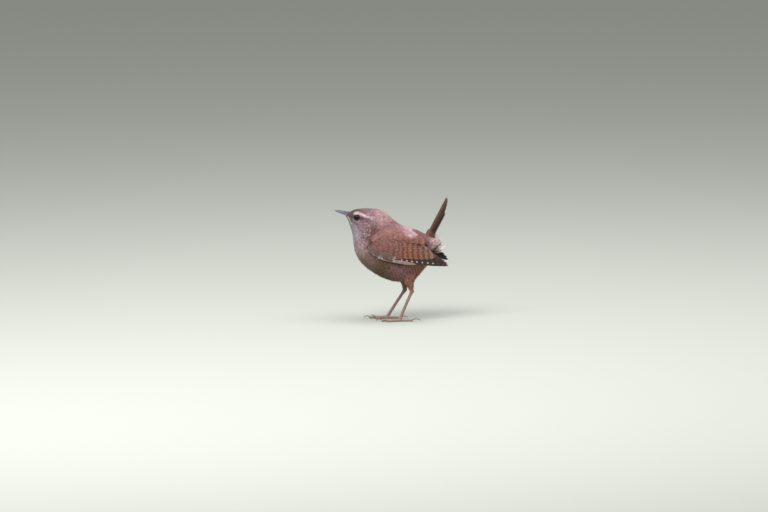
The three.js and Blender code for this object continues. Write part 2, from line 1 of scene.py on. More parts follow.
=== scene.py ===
"""A wren at life size, standing with its tail cocked, as a museum shows it.

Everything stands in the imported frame: +Z is up, the bill points to -X and the bird's left side is on
-Y. Shapes are worked out in millimetres, and a mesh is turned to metres when it is made.
"""

import json
import logging
import math
from dataclasses import dataclass
from enum import Enum
from functools import partial
from typing import Any, Callable, Iterable, Optional, Sequence

import bpy
import numpy as np
from bpy.types import Material, Mesh, Node, NodeSocket, NodeTree, Object
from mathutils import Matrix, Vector

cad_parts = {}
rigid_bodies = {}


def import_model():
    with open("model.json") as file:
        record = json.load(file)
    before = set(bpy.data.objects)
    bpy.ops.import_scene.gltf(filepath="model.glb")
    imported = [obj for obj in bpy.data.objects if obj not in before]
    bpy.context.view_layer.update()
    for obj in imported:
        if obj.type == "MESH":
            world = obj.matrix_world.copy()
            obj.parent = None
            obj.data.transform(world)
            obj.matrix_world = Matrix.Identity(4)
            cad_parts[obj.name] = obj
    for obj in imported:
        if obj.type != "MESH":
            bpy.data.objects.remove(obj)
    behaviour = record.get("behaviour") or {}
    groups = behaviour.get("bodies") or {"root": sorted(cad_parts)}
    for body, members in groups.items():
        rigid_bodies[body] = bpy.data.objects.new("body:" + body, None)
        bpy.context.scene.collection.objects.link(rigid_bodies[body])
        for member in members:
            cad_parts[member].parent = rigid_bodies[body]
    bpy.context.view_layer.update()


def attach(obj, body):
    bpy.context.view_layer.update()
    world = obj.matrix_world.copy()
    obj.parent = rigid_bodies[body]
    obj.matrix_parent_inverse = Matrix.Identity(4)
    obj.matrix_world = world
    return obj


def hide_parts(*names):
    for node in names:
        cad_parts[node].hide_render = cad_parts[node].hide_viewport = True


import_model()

log = logging.getLogger("wren")

MM = 0.001  # metres in a millimetre
BAKE_MAP = "OFBake"
BAKE_PATCH = 0.003  # across one tuft's patch on the bake map
HIND_TURN = 184  # of the hind toe, in degrees from straight ahead

Pair = tuple[float, float]
Pairs = tuple[Pair, ...]
Values = np.ndarray


class Side(Enum):
    """The two sides of the bird, as signs of Y."""

    LEFT = -1
    RIGHT = 1


class Slot(Enum):
    """The record's material slots."""

    PLUMAGE = "plumage"
    FLIGHT = "flight_feathers"
    BILL = "bill"
    EYE = "eye"
    LEG = "leg_skin"


def linear(code: str) -> Values:
    """The linear colour of an sRGB hex value.

    Args:
        code: a colour such as "#9c7a80".

    Returns:
        Red, green, blue and an alpha of 1.
    """
    shares = [int(code[i : i + 2], 16) / 255 for i in (1, 3, 5)]
    return np.array([*(s / 12.92 if s <= 0.04045 else ((s + 0.055) / 1.055) ** 2.4 for s in shares), 1.0])


def feed(node: Node, inputs: dict) -> None:
    """Sets or links a node's inputs.

    Args:
        node: the node.
        inputs: for each socket, by name or number, a value, an output, or a node for its first output.
    """
    for socket, value in inputs.items():
        value = value.outputs[0] if isinstance(value, Node) else value
        if isinstance(value, NodeSocket):
            node.id_data.links.new(value, node.inputs[socket])
        else:
            node.inputs[socket].default_value = value


def add_node(tree: NodeTree, kind: str, inputs: Optional[dict] = None, **settings: Any) -> Node:
    """Adds a node with its settings and links.

    Args:
        tree: the tree that the node joins.
        kind: the node's type name, without ShaderNode for one of those.
        inputs: what each socket gets, as feed takes it.
        settings: the node's own properties.

    Returns:
        The new node.
    """
    node = tree.nodes.new(kind if "Node" in kind else f"ShaderNode{kind}")
    for name, value in settings.items():
        setattr(node, name, value)
    feed(node, inputs or {})
    return node


def smoothstep(low: float, high: float, value: Values) -> Values:
    """0 below low, 1 above high and a smooth rise between them."""
    t = np.clip((value - low) / (high - low), 0, 1)
    return t * t * (3 - 2 * t)


def mix(start: Any, end: Any, share: Any) -> Any:
    """The value that lies share of the way from start to end."""
    return start + (end - start) * share


def spline(points: Values, places: Values) -> Values:
    """A smooth curve through points.

    Args:
        points: one row for each point, of any width.
        places: where to read the curve, counted in points from the first.

    Returns:
        One row for each place.
    """
    points = np.asarray(points, float)
    padded = np.vstack([2 * points[0] - points[1], points, 2 * points[-1] - points[-2]])
    index = np.clip(np.floor(places).astype(int), 0, len(points) - 2)
    f = (np.asarray(places) - index)[:, None]
    a, b, c, d = (padded[index + k] for k in range(4))
    bend = 2 * a - 5 * b + 4 * c - d
    return 0.5 * (2 * b + (c - a) * f + bend * f**2 + (3 * b - a - 3 * c + d) * f**3)


def normalised(vectors: Values) -> Values:
    """Each row at a length of 1."""
    return vectors / np.maximum(np.linalg.norm(vectors, axis=-1, keepdims=True), 1e-9)


KINDS = {
    "zone": ("INT", "value"), "lie": ("FLOAT_VECTOR", "vector"), "pattern": ("FLOAT_VECTOR", "vector"),
    "tone": ("FLOAT_COLOR", "color"), "coat_tone": ("FLOAT_COLOR", "color"), "vane": ("FLOAT2", "vector"),
    "barb": ("FLOAT2", "vector"), BAKE_MAP: ("FLOAT2", "vector"),
}


def store(mesh: Mesh, **facts: Any) -> None:
    """Stores attributes on a mesh's points, and maps on its faces' corners.

    Args:
        mesh: the mesh.
        facts: for each attribute one value for all points, a row for each point, or on a map for each corner.
    """
    corners = np.zeros(len(mesh.loops), np.int32)
    mesh.loops.foreach_get("vertex_index", corners)
    for name, values in facts.items():
        kind, key = KINDS.get(name, ("FLOAT", "value"))
        values = np.asarray(values) if np.ndim(values) else np.full(len(mesh.vertices), values)
        if kind == "FLOAT2" and len(values) != len(corners):
            values = values[corners]
        attribute = mesh.attributes.new(name, kind, "CORNER" if kind == "FLOAT2" else "POINT")
        exact = np.int32 if kind == "INT" else np.float32
        attribute.data.foreach_set(key, np.ascontiguousarray(values, exact).ravel())


def read_points(mesh: Mesh) -> Values:
    """A mesh's points in millimetres."""
    points = np.zeros(len(mesh.vertices) * 3)
    mesh.vertices.foreach_get("co", points)
    return points.reshape(-1, 3) / MM


def enclosed(points: Values, faces: Sequence[Sequence[int]]) -> float:
    """Six times the volume that the faces enclose, negative where they point inwards."""
    total = 0.0
    for face in faces:
        a = points[face[0]]
        for k in range(1, len(face) - 1):
            total += float(np.dot(a, np.cross(points[face[k]], points[face[k + 1]])))
    return total


def show(name: str, mesh: Mesh) -> Object:
    """Puts a mesh in the scene as an object at the origin."""
    piece = bpy.data.objects.new(name, mesh)
    bpy.context.scene.collection.objects.link(piece)
    return piece


def make_piece(
    name: str, points: Values, faces: Sequence[Sequence[int]], finish: Optional[Material], **facts: Any
) -> Object:
    """Makes a smooth-shaded mesh object in the scene.

    Args:
        name: the piece's name.
        points: its points in millimetres.
        faces: the point numbers of each face.
        finish: its material, if it has one yet.
        facts: what its mesh stores.

    Returns:
        The object, at the origin.
    """
    mesh = bpy.data.meshes.new(name)
    mesh.from_pydata((np.asarray(points) * MM).tolist(), [], [list(f) for f in faces])
    mesh.polygons.foreach_set("use_smooth", [True] * len(mesh.polygons))
    if finish is not None:
        mesh.materials.append(finish)
    store(mesh, **facts)
    return show(name, mesh)


def around(sides: int) -> Values:
    """Evenly spaced turns once round, in radians."""
    return np.linspace(0, 2 * math.pi, sides, endpoint=False)


def superellipse(sides: int, roundness: float) -> tuple[Values, Values]:
    """How far up and out each point of a superellipse lies; at a roundness of 2 it is an ellipse."""
    ways = (np.cos(around(sides)), np.sin(around(sides)))
    up, out = (np.sign(way) * np.abs(way) ** (2 / roundness) for way in ways)
    return up, out


def capped(tone: Values) -> Values:
    """A closed tube's tones: those of its rings, then those of its two end points."""
    return np.vstack([tone.reshape(-1, 4), tone[0, :1], tone[-1, :1]])


def closed_tube(rings: Values) -> tuple[Values, list[list[int]]]:
    """A closed tube through rings of points, its two end points last, with its faces pointing out.

    Args:
        rings: points in the shape (rings, sides, 3).

    Returns:
        The points and the faces.
    """
    count, sides, _ = rings.shape
    points = np.vstack([rings.reshape(-1, 3), rings[0].mean(0), rings[-1].mean(0)])
    faces = []
    for ring in range(count - 1):
        for side in range(sides):
            a, b = ring * sides + side, ring * sides + (side + 1) % sides
            faces.append([a, b, b + sides, a + sides])
    last = (count - 1) * sides
    for side in range(sides):
        ahead = (side + 1) % sides
        faces.append([ahead, side, count * sides])
        faces.append([last + side, last + ahead, count * sides + 1])
    if enclosed(points, faces) < 0:
        faces = [face[::-1] for face in faces]
    return points, faces


def rings_along(
    path: Values, half_sizes: Values, sides: int, level: Sequence[float] = (0.0, 1.0, 0.0)
) -> Values:
    """Rings of points round a path.

    Args:
        path: the path's points.
        half_sizes: for each of them, half the width along level and half the depth across it.
        sides: how many points each ring has.
        level: the direction that each ring's width keeps closest to.

    Returns:
        Points in the shape (rings, sides, 3), starting on the side of level.
    """
    along = normalised(np.gradient(path, axis=0))
    wide = np.asarray(level, float) - along * (along @ np.asarray(level, float))[:, None]
    wide = normalised(wide)
    deep = np.cross(along, wide)
    turn = around(sides)
    ring = path[:, None] + wide[:, None] * np.cos(turn)[:, None] * half_sizes[:, 0, None, None]
    return ring + deep[:, None] * np.sin(turn)[:, None] * half_sizes[:, 1, None, None]


def merge(parts: Iterable[tuple[Values, list[list[int]]]]) -> tuple[Values, list[list[int]]]:
    """Several point and face lists as one."""
    points: list[Values] = []
    faces: list[list[int]] = []
    start = 0
    for part_points, part_faces in parts:
        points.append(part_points)
        faces.extend([[k + start for k in face] for face in part_faces])
        start += len(part_points)
    return np.vstack(points), faces


def evaluated_mesh(piece: Object, name: str) -> Mesh:
    """A plain mesh of a piece as its modifiers leave it."""
    bpy.context.view_layer.update()
    made = bpy.data.meshes.new_from_object(piece.evaluated_get(bpy.context.evaluated_depsgraph_get()))
    made.name = name
    return made


def harden(piece: Object) -> Object:
    """Makes a piece's modifiers part of its mesh."""
    made = evaluated_mesh(piece, piece.name)
    piece.modifiers.clear()
    piece.data = made
    return piece


def settle(piece: Object, slot: Slot, *nodes: str) -> Object:
    """Fixes a piece to the model.

    Args:
        piece: the piece, at the origin.
        slot: the record's material slot; not used.
        nodes: the solid nodes that it stands for.

    Returns:
        The same piece.
    """
    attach(piece, "root")
    if nodes:
        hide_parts(*nodes)
    return piece


def start_finish(name: str) -> tuple[Material, Callable[..., Node], Node]:
    """A new material, what adds a node to it, and its shader."""
    material = bpy.data.materials.new(name)
    material.use_nodes = True
    return material, partial(add_node, material.node_tree), material.node_tree.nodes["Principled BSDF"]


@dataclass(frozen=True)
class ContourFeathers:
    """Small body feathers: soft keratin barbs, free at the tip, with no gloss.

    The eye sees fine streaks along the lie, each feather a little lighter or darker than the next, a
    dark downy root, a paler fringe and, on the flanks, faint dark bars.

    Attributes:
        mottle: the size of the soft mottles in millimetres.
        barb: the width of the drawn barbs as a share of a tuft's width; real ones are too fine to show.
        bar: millimetres from one dark bar to the next, where the coat is barred.
        bar_lean: how far the bars lean, as the share of Z in their direction.
        root: the lightness at a tuft's root.
        fringe: the lightness at its tip.
        bar_at: where along the bird one dark bar lies, in millimetres.
        waver: how far the bars waver, as a share of the distance between them.
        bar_depth: how dark a bar is.
        name: the material's name.
    """

    mottle: float = 1.3
    barb: float = 0.09
    bar: float = 1.75
    bar_lean: float = 0.28
    root: float = 0.8
    fringe: float = 1.1
    bar_at: float = 0.0
    waver: float = 0.9
    bar_depth: float = 0.4
    name: str = "contour feathers"

    def make(self) -> Material:
        """Builds the material."""
        material, add, shader = start_finish(self.name)
        place = add("TexCoord").outputs["Object"]
        barb = add("UVMap", uv_map="barb")
        along = add("SeparateXYZ", {0: barb})
        tone = add("Attribute", attribute_name="coat_tone")
        own, barred, speckled = (
            add("Attribute", attribute_name=name).outputs["Fac"] for name in ("own", "barred", "speckled")
        )
        mottle = add("TexNoise", {"Vector": place, "Scale": 1 / (self.mottle * MM), "Detail": 3.0})
        streak_place = add("Mapping", {"Vector": barb, "Scale": (1.3, 1 / self.barb, 1.0)})
        shifted = add("VectorMath", {0: add("CombineXYZ", {2: own}), "Scale": 40.0}, operation="SCALE")
        streak_place = add("VectorMath", {0: streak_place, 1: shifted})
        streak = add("TexNoise", {"Vector": streak_place, "Scale": 1.0, "Detail": 1.0})
        light = add("MapRange", {0: along, 3: self.root, 4: self.fringe})
        ranges = ((own, 0.0, 1.0, 0.9, 1.12), (own, 0.8, 0.9, 1.0, 0.8), (mottle, 0.3, 0.7, 0.7, 1.28),
                  (streak, 0.25, 0.75, 0.84, 1.16))
        for source, start, end, low, high in ranges:
            share = add("MapRange", {0: source, 1: start, 2: end, 3: low, 4: high})
            light = add("Math", {0: light, 1: share}, operation="MULTIPLY")
        ahead = add("VectorMath",
                    {0: place, 1: (1 / (self.bar * MM), 0.0, self.bar_lean / (self.bar * MM))},
                    operation="DOT_PRODUCT").outputs["Value"]
        bend = add("Math", {0: mottle, 1: self.waver, 2: 0.25 - self.bar_at / self.bar},
                   operation="MULTIPLY_ADD")
        ahead = add("Math", {0: ahead, 1: bend})
        turn = add("Math", {0: ahead, 1: 2 * math.pi}, operation="MULTIPLY")
        wave = add("Math", {0: turn}, operation="SINE")
        wave = add("MapRange", {0: wave, 1: 0.0, 2: 0.8}, interpolation_type="SMOOTHSTEP")
        bars = add("Math", {0: wave, 1: barred}, operation="MULTIPLY")
        dim = add("Math", {0: bars, 1: -self.bar_depth, 2: 1.0}, operation="MULTIPLY_ADD")
        light = add("Math", {0: light, 1: dim}, operation="MULTIPLY")
        speck = add("TexNoise", {"Vector": place, "Scale": 1.25 / (self.mottle * MM), "Detail": 2.0})
        speck = add("MapRange", {0: speck, 1: 0.34, 2: 0.66, 3: -0.2, 4: 0.18},
                    interpolation_type="SMOOTHSTEP")
        speck = add("Math", {0: speck, 1: speckled, 2: 1.0}, operation="MULTIPLY_ADD")
        light = add("Math", {0: light, 1: speck}, operation="MULTIPLY")
        colour = add("VectorMath", {0: tone, "Scale": light}, operation="SCALE")
        warmth = add("MapRange", {0: own, 3: 0.488, 4: 0.512})
        colour = add("HueSaturation", {"Hue": warmth, "Color": colour})
        bump = add("Bump", {"Strength": 0.35, "Distance": 0.00006, "Height": streak})
        feed(shader, {
            "Base Color": colour, "Normal": bump, "Roughness": 0.78, "IOR": 1.5,
            "Specular IOR Level": 0.25, "Sheen Weight": 0.16, "Sheen Roughness": 0.45,
        })
        return material


@dataclass(frozen=True)
class FeatheredSkin:
    """The skin under the coat: down and feather roots, so the eye sees it only as shade between tufts.

    Attributes:
        shade: its lightness beside the coat's.
        down: the size of its down in millimetres.
    """

    shade: float = 0.7
    down: float = 0.35

    def make(self) -> Material:
        """Builds the material."""
        material, add, shader = start_finish("downy skin")
        place = add("TexCoord").outputs["Object"]
        tone = add("Attribute", attribute_name="tone")
        down = add("TexNoise", {"Vector": place, "Scale": 1 / (self.down * MM), "Detail": 3.0})
        light = add("MapRange", {0: down, 3: self.shade * 0.6, 4: self.shade * 1.4})
        colour = add("VectorMath", {0: tone, "Scale": light}, operation="SCALE")
        bump = add("Bump", {"Strength": 0.5, "Distance": 0.0001, "Height": down})
        feed(shader, {"Base Color": colour, "Normal": bump, "Roughness": 0.9, "Specular IOR Level": 0.15})
        return material


@dataclass(frozen=True)
class Vanes:
    """Flight feathers and coverts: keratin vanes, zipped close, with a slight satin.

    The eye sees fine barbs that slant from a dark shaft, soft-edged dark bars that line up from feather
    to feather, pale spots on some outer webs and pale tips on some coverts.

    Attributes:
        barb: millimetres from one drawn barb to the next; real ones, at 0.05, are too fine to show.
        slant: how far a barb runs forward for each millimetre out from the shaft.
        shaft: half the shaft's width in millimetres.
        bar_tone: how dark a bar is.
        spot: the pale spots' colour.
        tip: the pale tips' colour.
    """

    barb: float = 0.2
    slant: float = 1.3
    shaft: float = 0.09
    bar_tone: float = 0.42
    spot: str = "#e6dad6"
    tip: str = "#d6c4be"

    def make(self) -> Material:
        """Builds the material."""
        material, add, shader = start_finish("close feather vanes")
        place = add("TexCoord").outputs["Object"]
        vane = add("SeparateXYZ", {0: add("UVMap", uv_map="vane")}).outputs
        tone = add("Attribute", attribute_name="tone")
        own, phase = (add("Attribute", attribute_name=name).outputs["Fac"] for name in ("own", "phase"))
        marks = add("Attribute", attribute_name="pattern").outputs["Vector"]
        marks = add("SeparateXYZ", {0: marks}).outputs
        cloud = add("TexNoise", {"Vector": place, "Scale": 1 / (1.1 * MM), "Detail": 3.0})
        off = add("Math", {0: vane[1]}, operation="ABSOLUTE")
        back = add("Math", {0: off, 1: -self.slant, 2: vane[0]}, operation="MULTIPLY_ADD")
        turn = add("Math", {0: back, 1: 2 * math.pi / self.barb}, operation="MULTIPLY")
        barbs = add("Math", {0: turn}, operation="SINE")
        strand_place = add("CombineXYZ", {0: back, 1: own})
        strands = add("TexNoise", {"Vector": strand_place, "Scale": 1 / (self.barb * 1.6), "Detail": 2.0})
        light = add("MapRange", {0: cloud, 3: 0.8, 4: 1.2})
        for source, low, high in ((barbs, 0.96, 1.04), (strands, 0.78, 1.22)):
            share = add("MapRange", {0: source, 3: low, 4: high})
            light = add("Math", {0: light, 1: share}, operation="MULTIPLY")
        jitter = add("Math", {0: own, 1: 0.55, 2: phase}, operation="MULTIPLY_ADD")
        jitter = add("Math", {0: cloud, 1: 0.4, 2: jitter}, operation="MULTIPLY_ADD")
        turn = add("Math", {0: jitter, 1: 2 * math.pi}, operation="MULTIPLY")
        wave = add("Math", {0: turn}, operation="COSINE")
        bars = add("MapRange", {0: wave, 1: -0.2, 2: 0.6}, interpolation_type="SMOOTHSTEP")
        bars = add("Math", {0: bars, 1: marks[0]}, operation="MULTIPLY")
        dim = add("MapRange", {0: bars, 3: 1.0, 4: self.bar_tone})
        light = add("Math", {0: light, 1: dim}, operation="MULTIPLY")
        shaft = add("MapRange", {0: off, 1: self.shaft, 2: self.shaft * 2, 3: 0.8, 4: 1.0})
        light = add("Math", {0: light, 1: shaft}, operation="MULTIPLY")
        colour = add("VectorMath", {0: tone, "Scale": light}, operation="SCALE")
        spots = add("MapRange", {0: wave, 1: -0.5, 2: -0.88}, interpolation_type="SMOOTHSTEP")
        spots = add("Math", {0: spots, 1: marks[1]}, operation="MULTIPLY")
        for share, pale in ((spots, self.spot), (marks[2], self.tip)):
            colour = add("Mix", {0: share, 6: colour, 7: linear(pale)}, data_type="RGBA").outputs[2]
        bump = add("Bump", {"Strength": 0.3, "Distance": 0.00004, "Height": barbs})
        feed(shader, {
            "Base Color": colour, "Normal": bump, "Roughness": 0.58, "IOR": 1.54,
            "Specular IOR Level": 0.35, "Sheen Weight": 0.1,
        })
        return material


@dataclass(frozen=True)
class BareFinish:
    """The finish of a part with no feathers, whose tones are stored on its mesh.

    Attributes:
        name: what it is.
        roughness: how matt it is.
        grain: the size of its grain in millimetres.
        bump: how high the grain stands, in millimetres.
        variety: how much its lightness varies.
        ior: how strongly it bends light.
        wet: the weight of a clear film over it.
        beneath: how much light passes under its surface.
        gloss: how strong its highlights are.
    """

    name: str
    roughness: float
    grain: float
    bump: float
    variety: float
    ior: float = 1.5
    wet: float = 0.0
    beneath: float = 0.0
    gloss: float = 0.5

    def make(self) -> Material:
        """Builds the material."""
        material, add, shader = start_finish(self.name)
        place = add("TexCoord").outputs["Object"]
        tone = add("Attribute", attribute_name="tone")
        grain = add("TexNoise", {"Vector": place, "Scale": 1 / (self.grain * MM), "Detail": 4.0})
        light = add("MapRange", {0: grain, 1: 0.25, 2: 0.75, 3: 1 - self.variety, 4: 1 + self.variety})
        colour = add("VectorMath", {0: tone, "Scale": light}, operation="SCALE")
        matt = add("MapRange", {0: grain, 3: self.roughness * 0.8, 4: self.roughness * 1.2})
        if self.bump:
            bump = add("Bump", {"Strength": 0.6, "Distance": self.bump * MM, "Height": grain})
            feed(shader, {"Normal": bump})
        feed(shader, {
            "Base Color": colour, "Roughness": matt, "IOR": self.ior, "Specular IOR Level": self.gloss,
            "Coat Weight": self.wet, "Coat Roughness": 0.02, "Subsurface Weight": self.beneath,
            "Subsurface Scale": 0.0004,
        })
        return material


# The small feathers of the wing, whose bars run on from those of the quills below them.
WING_COAT = ContourFeathers(
    bar=3.05, bar_lean=0.1, bar_at=21.05, waver=0.35, bar_depth=0.4, name="wing coverts"
)
# Horn worn smooth by use: a soft satin light along the ridge, faint growth streaks.
BILL_HORN = BareFinish("bill horn, worn smooth", 0.36, 0.5, 0.012, 0.12, ior=1.54)
# Claw horn, thinner and clearer than the bill's: a sharper light on its curve.
CLAW_HORN = BareFinish("claw horn", 0.32, 0.4, 0.01, 0.15, ior=1.54, beneath=0.1)
# Scaled leg skin: a dry satin that breaks at each scute's edge, warm where light passes under it.
LEG_SKIN = BareFinish("scaled leg skin", 0.5, 0.22, 0.03, 0.16, beneath=0.12)
# Bare lid skin: matt and finely pitted.
LID_SKIN = BareFinish("bare lid skin", 0.6, 0.16, 0.03, 0.15, beneath=0.1)
# The cornea's tear film over a dark iris: near black, with one sharp highlight.
WET_EYE = BareFinish("wet eye", 0.05, 0.5, 0.0, 0.1, ior=1.34, gloss=0.28)
# Matt emulsion on a level floor, with the faint unevenness of a roller.
FLOOR_PAINT = BareFinish("matt floor paint", 0.9, 2.5, 0.05, 0.012)


@dataclass(frozen=True)
class Area:
    """A part of the plumage that keeps to one tone, seen from the side.

    Attributes:
        name: the part's name in a bird book.
        at: its middle, as (x, z) in millimetres.
        reach: how far its tone carries, in millimetres.
        tone: its colour.
    """

    name: str
    at: Pair
    reach: float
    tone: str


@dataclass(frozen=True)
class Marking:
    """A streak or spot over the areas, seen from the side.

    Attributes:
        name: what it is.
        line: the (x, z) points that it follows, in millimetres.
        width: its width in millimetres.
        tone: its colour.
        strength: how far it covers what lies under it, from 0 to 1.
        soft: how wide its edge is, in millimetres.
    """

    name: str
    line: Pairs
    width: float
    tone: str
    strength: float = 1.0
    soft: float = 0.7

    def cover(self, flat: Values) -> Values:
        """How far the marking covers each (x, z) point."""
        line = np.array(self.line)
        nearest = np.full(len(flat), 1e9)
        pairs = [(line[0], line[0])] if len(line) == 1 else list(zip(line[:-1], line[1:]))
        for start, end in pairs:
            along = end - start
            share = np.clip((flat - start) @ along / max(float(along @ along), 1e-9), 0, 1)
            nearest = np.minimum(nearest, np.linalg.norm(flat - start - share[:, None] * along, axis=1))
        return self.strength * (1 - smoothstep(self.width / 2, self.width / 2 + self.soft, nearest))


AREAS = (
    Area("forehead", (-24.5, 63.2), 2.0, "#55404f"),
    Area("crown", (-15.0, 65.5), 6.0, "#886b71"),
    Area("nape", (-5.0, 62.0), 6.0, "#b99497"),
    Area("mantle", (0.5, 53.5), 6.0, "#835855"),
    # The back's pale pink is largely a painted highlight: the sky's sheen on the back, painted over its
    # brown.
    Area("back", (9.5, 54.0), 5.6, "#d0a9b1"),
    Area("rump", (19.0, 50.0), 4.5, "#80595d"),
    Area("lore", (-24.0, 60.8), 1.8, "#736368"),
    Area("ear coverts", (-15.0, 57.0), 5.0, "#826771"),
    Area("neck side", (-10.0, 51.5), 5.0, "#643d37"),
    Area("chin", (-25.0, 57.0), 2.5, "#a29598"),
    Area("throat", (-22.5, 51.5), 4.0, "#ab9eac"),
    Area("breast", (-19.5, 43.0), 5.0, "#ad9194"),
    Area("lower breast", (-14.0, 35.5), 5.0, "#81685e"),
    Area("belly", (-4.0, 28.5), 6.0, "#635036"),
    Area("flank", (4.0, 29.0), 6.0, "#976b6e"),
    Area("rear flank", (14.0, 30.0), 5.0, "#98695a"),
    Area("thigh", (9.0, 23.0), 3.5, "#996d57"),
    Area("vent", (20.5, 35.5), 3.4, "#75594f"),
    Area("undertail", (26.5, 46.0), 3.6, "#c8aaa6"),
    # Painted shade: a dark patch in the hollow behind the wing tips, under the tail.
    Area("behind the wing", (24.6, 40.2), 2.6, "#54423f"),
)

MARKINGS = (
    Marking("dark lore", ((-25.3, 61.8), (-22.4, 60.9)), 1.0, "#4b3c3f", 0.8),
    Marking("eye stripe", ((-18.4, 60.4), (-16.4, 60.0), (-13.8, 59.2)), 0.7, "#5f464a", 0.7),
    Marking("crown's edge", ((-25.0, 63.0), (-22.5, 63.9), (-19.0, 64.1), (-15.5, 62.6)),
            0.6, "#5d464b", 0.75),
    Marking("eyebrow", ((-21.5, 62.7), (-19.3, 63.0), (-17.4, 62.3), (-15.5, 61.4)),
            0.8, "#e0c6c8", 0.92, 0.45),
    Marking("eyebrow's end", ((-14.7, 61.1), (-12.9, 60.6), (-11.2, 59.7)), 0.35, "#cfb0b0", 0.8, 0.4),
    Marking("under the eye", ((-21.9, 58.9), (-20.3, 58.3), (-18.7, 58.8)), 0.2, "#cdb8b6", 0.8, 0.3),
    Marking("bill's corner", ((-25.4, 60.7), (-24.2, 59.0), (-23.1, 57.4)), 0.25, "#d9cfc4", 0.9, 0.3),
    Marking("behind the corner", ((-24.6, 60.6), (-23.4, 58.8), (-22.4, 57.5)), 0.35, "#4d3e40", 0.8, 0.3),
    Marking("moustache", ((-22.4, 57.9), (-20.5, 57.0), (-18.4, 57.2)), 0.3, "#6d5456", 0.6, 0.4),
    Marking("neck spot", ((-14.2, 53.3),), 0.7, "#5a4340", 0.8, 0.5),
    Marking("neck spot", ((-15.9, 49.2),), 0.8, "#5a4340", 0.8, 0.5),
    Marking("neck spot", ((-13.4, 49.6),), 0.9, "#5a4340", 0.85, 0.5),
    Marking("neck spot", ((-9.4, 49.8),), 0.9, "#6a4d47", 0.6, 0.6),
    Marking("shade above the wing", ((12.2, 52.0), (16.8, 48.2), (20.4, 44.6)), 0.9, "#563b37", 0.7, 0.9),
    # Painted shadow: a dark band on the body coat under the wing's lower edge, where the wing shades the
    # flank.
    Marking("wing's edge", ((-13.5, 43.6), (-9.0, 39.8), (-2.0, 36.4), (6.0, 34.6)),
            1.8, "#3d2e2a", 0.6, 1.5),
)


def ear_flecks(seed: int = 4) -> tuple[Marking, ...]:
    """Small pale flecks with a dark one under each, in rows over the ear coverts and the neck's side.

    Args:
        seed: the seed for how they stray from their rows.

    Returns:
        The markings.
    """
    chance = np.random.default_rng(seed)
    flecks = []
    for row in range(7):
        for place in range(5):
            x = -18.6 + 1.35 * place + 0.6 * (row % 2) + chance.normal(0, 0.22)
            z = 57.4 - 1.15 * row - 0.12 * place + chance.normal(0, 0.16)
            long, turn = chance.uniform(0.35, 0.65), chance.normal(-0.45, 0.4)
            ahead = np.array([math.cos(turn), math.sin(turn)]) * long
            kinds = (("pale fleck", 0.0, "#d2b4b0", 0.8), ("dark fleck", 0.5, "#54403f", 0.7))
            for name, down, tone, strength in kinds:
                start = np.array([x, z - down])
                line = (tuple(start - ahead / 2), tuple(start + ahead / 2))
                flecks.append(Marking(name, line, 0.2, tone, strength * chance.uniform(0.6, 1.0), 0.3))
    return tuple(flecks)


MARKINGS += ear_flecks()


def plumage_tones(
    points: Values, areas: Sequence[Area] = AREAS, markings: Sequence[Marking] = MARKINGS
) -> Values:
    """The colour of the plumage at points, with its markings.

    Args:
        points: places on the bird in millimetres.
        areas: the tones that blend into each other.
        markings: the streaks and spots over them.

    Returns:
        Linear colours with an alpha of 1, one row for each place.
    """
    flat = points[:, [0, 2]]
    weights = np.array([
        np.exp(-((np.linalg.norm(flat - area.at, axis=1) / area.reach) ** 2)) + 1e-7 for area in areas
    ])
    tones = np.array([linear(area.tone) for area in areas])
    colours = (weights.T @ tones) / weights.sum(0)[:, None]
    for marking in markings:
        cover = marking.cover(flat)[:, None]
        colours = mix(colours, linear(marking.tone), cover)
    return colours


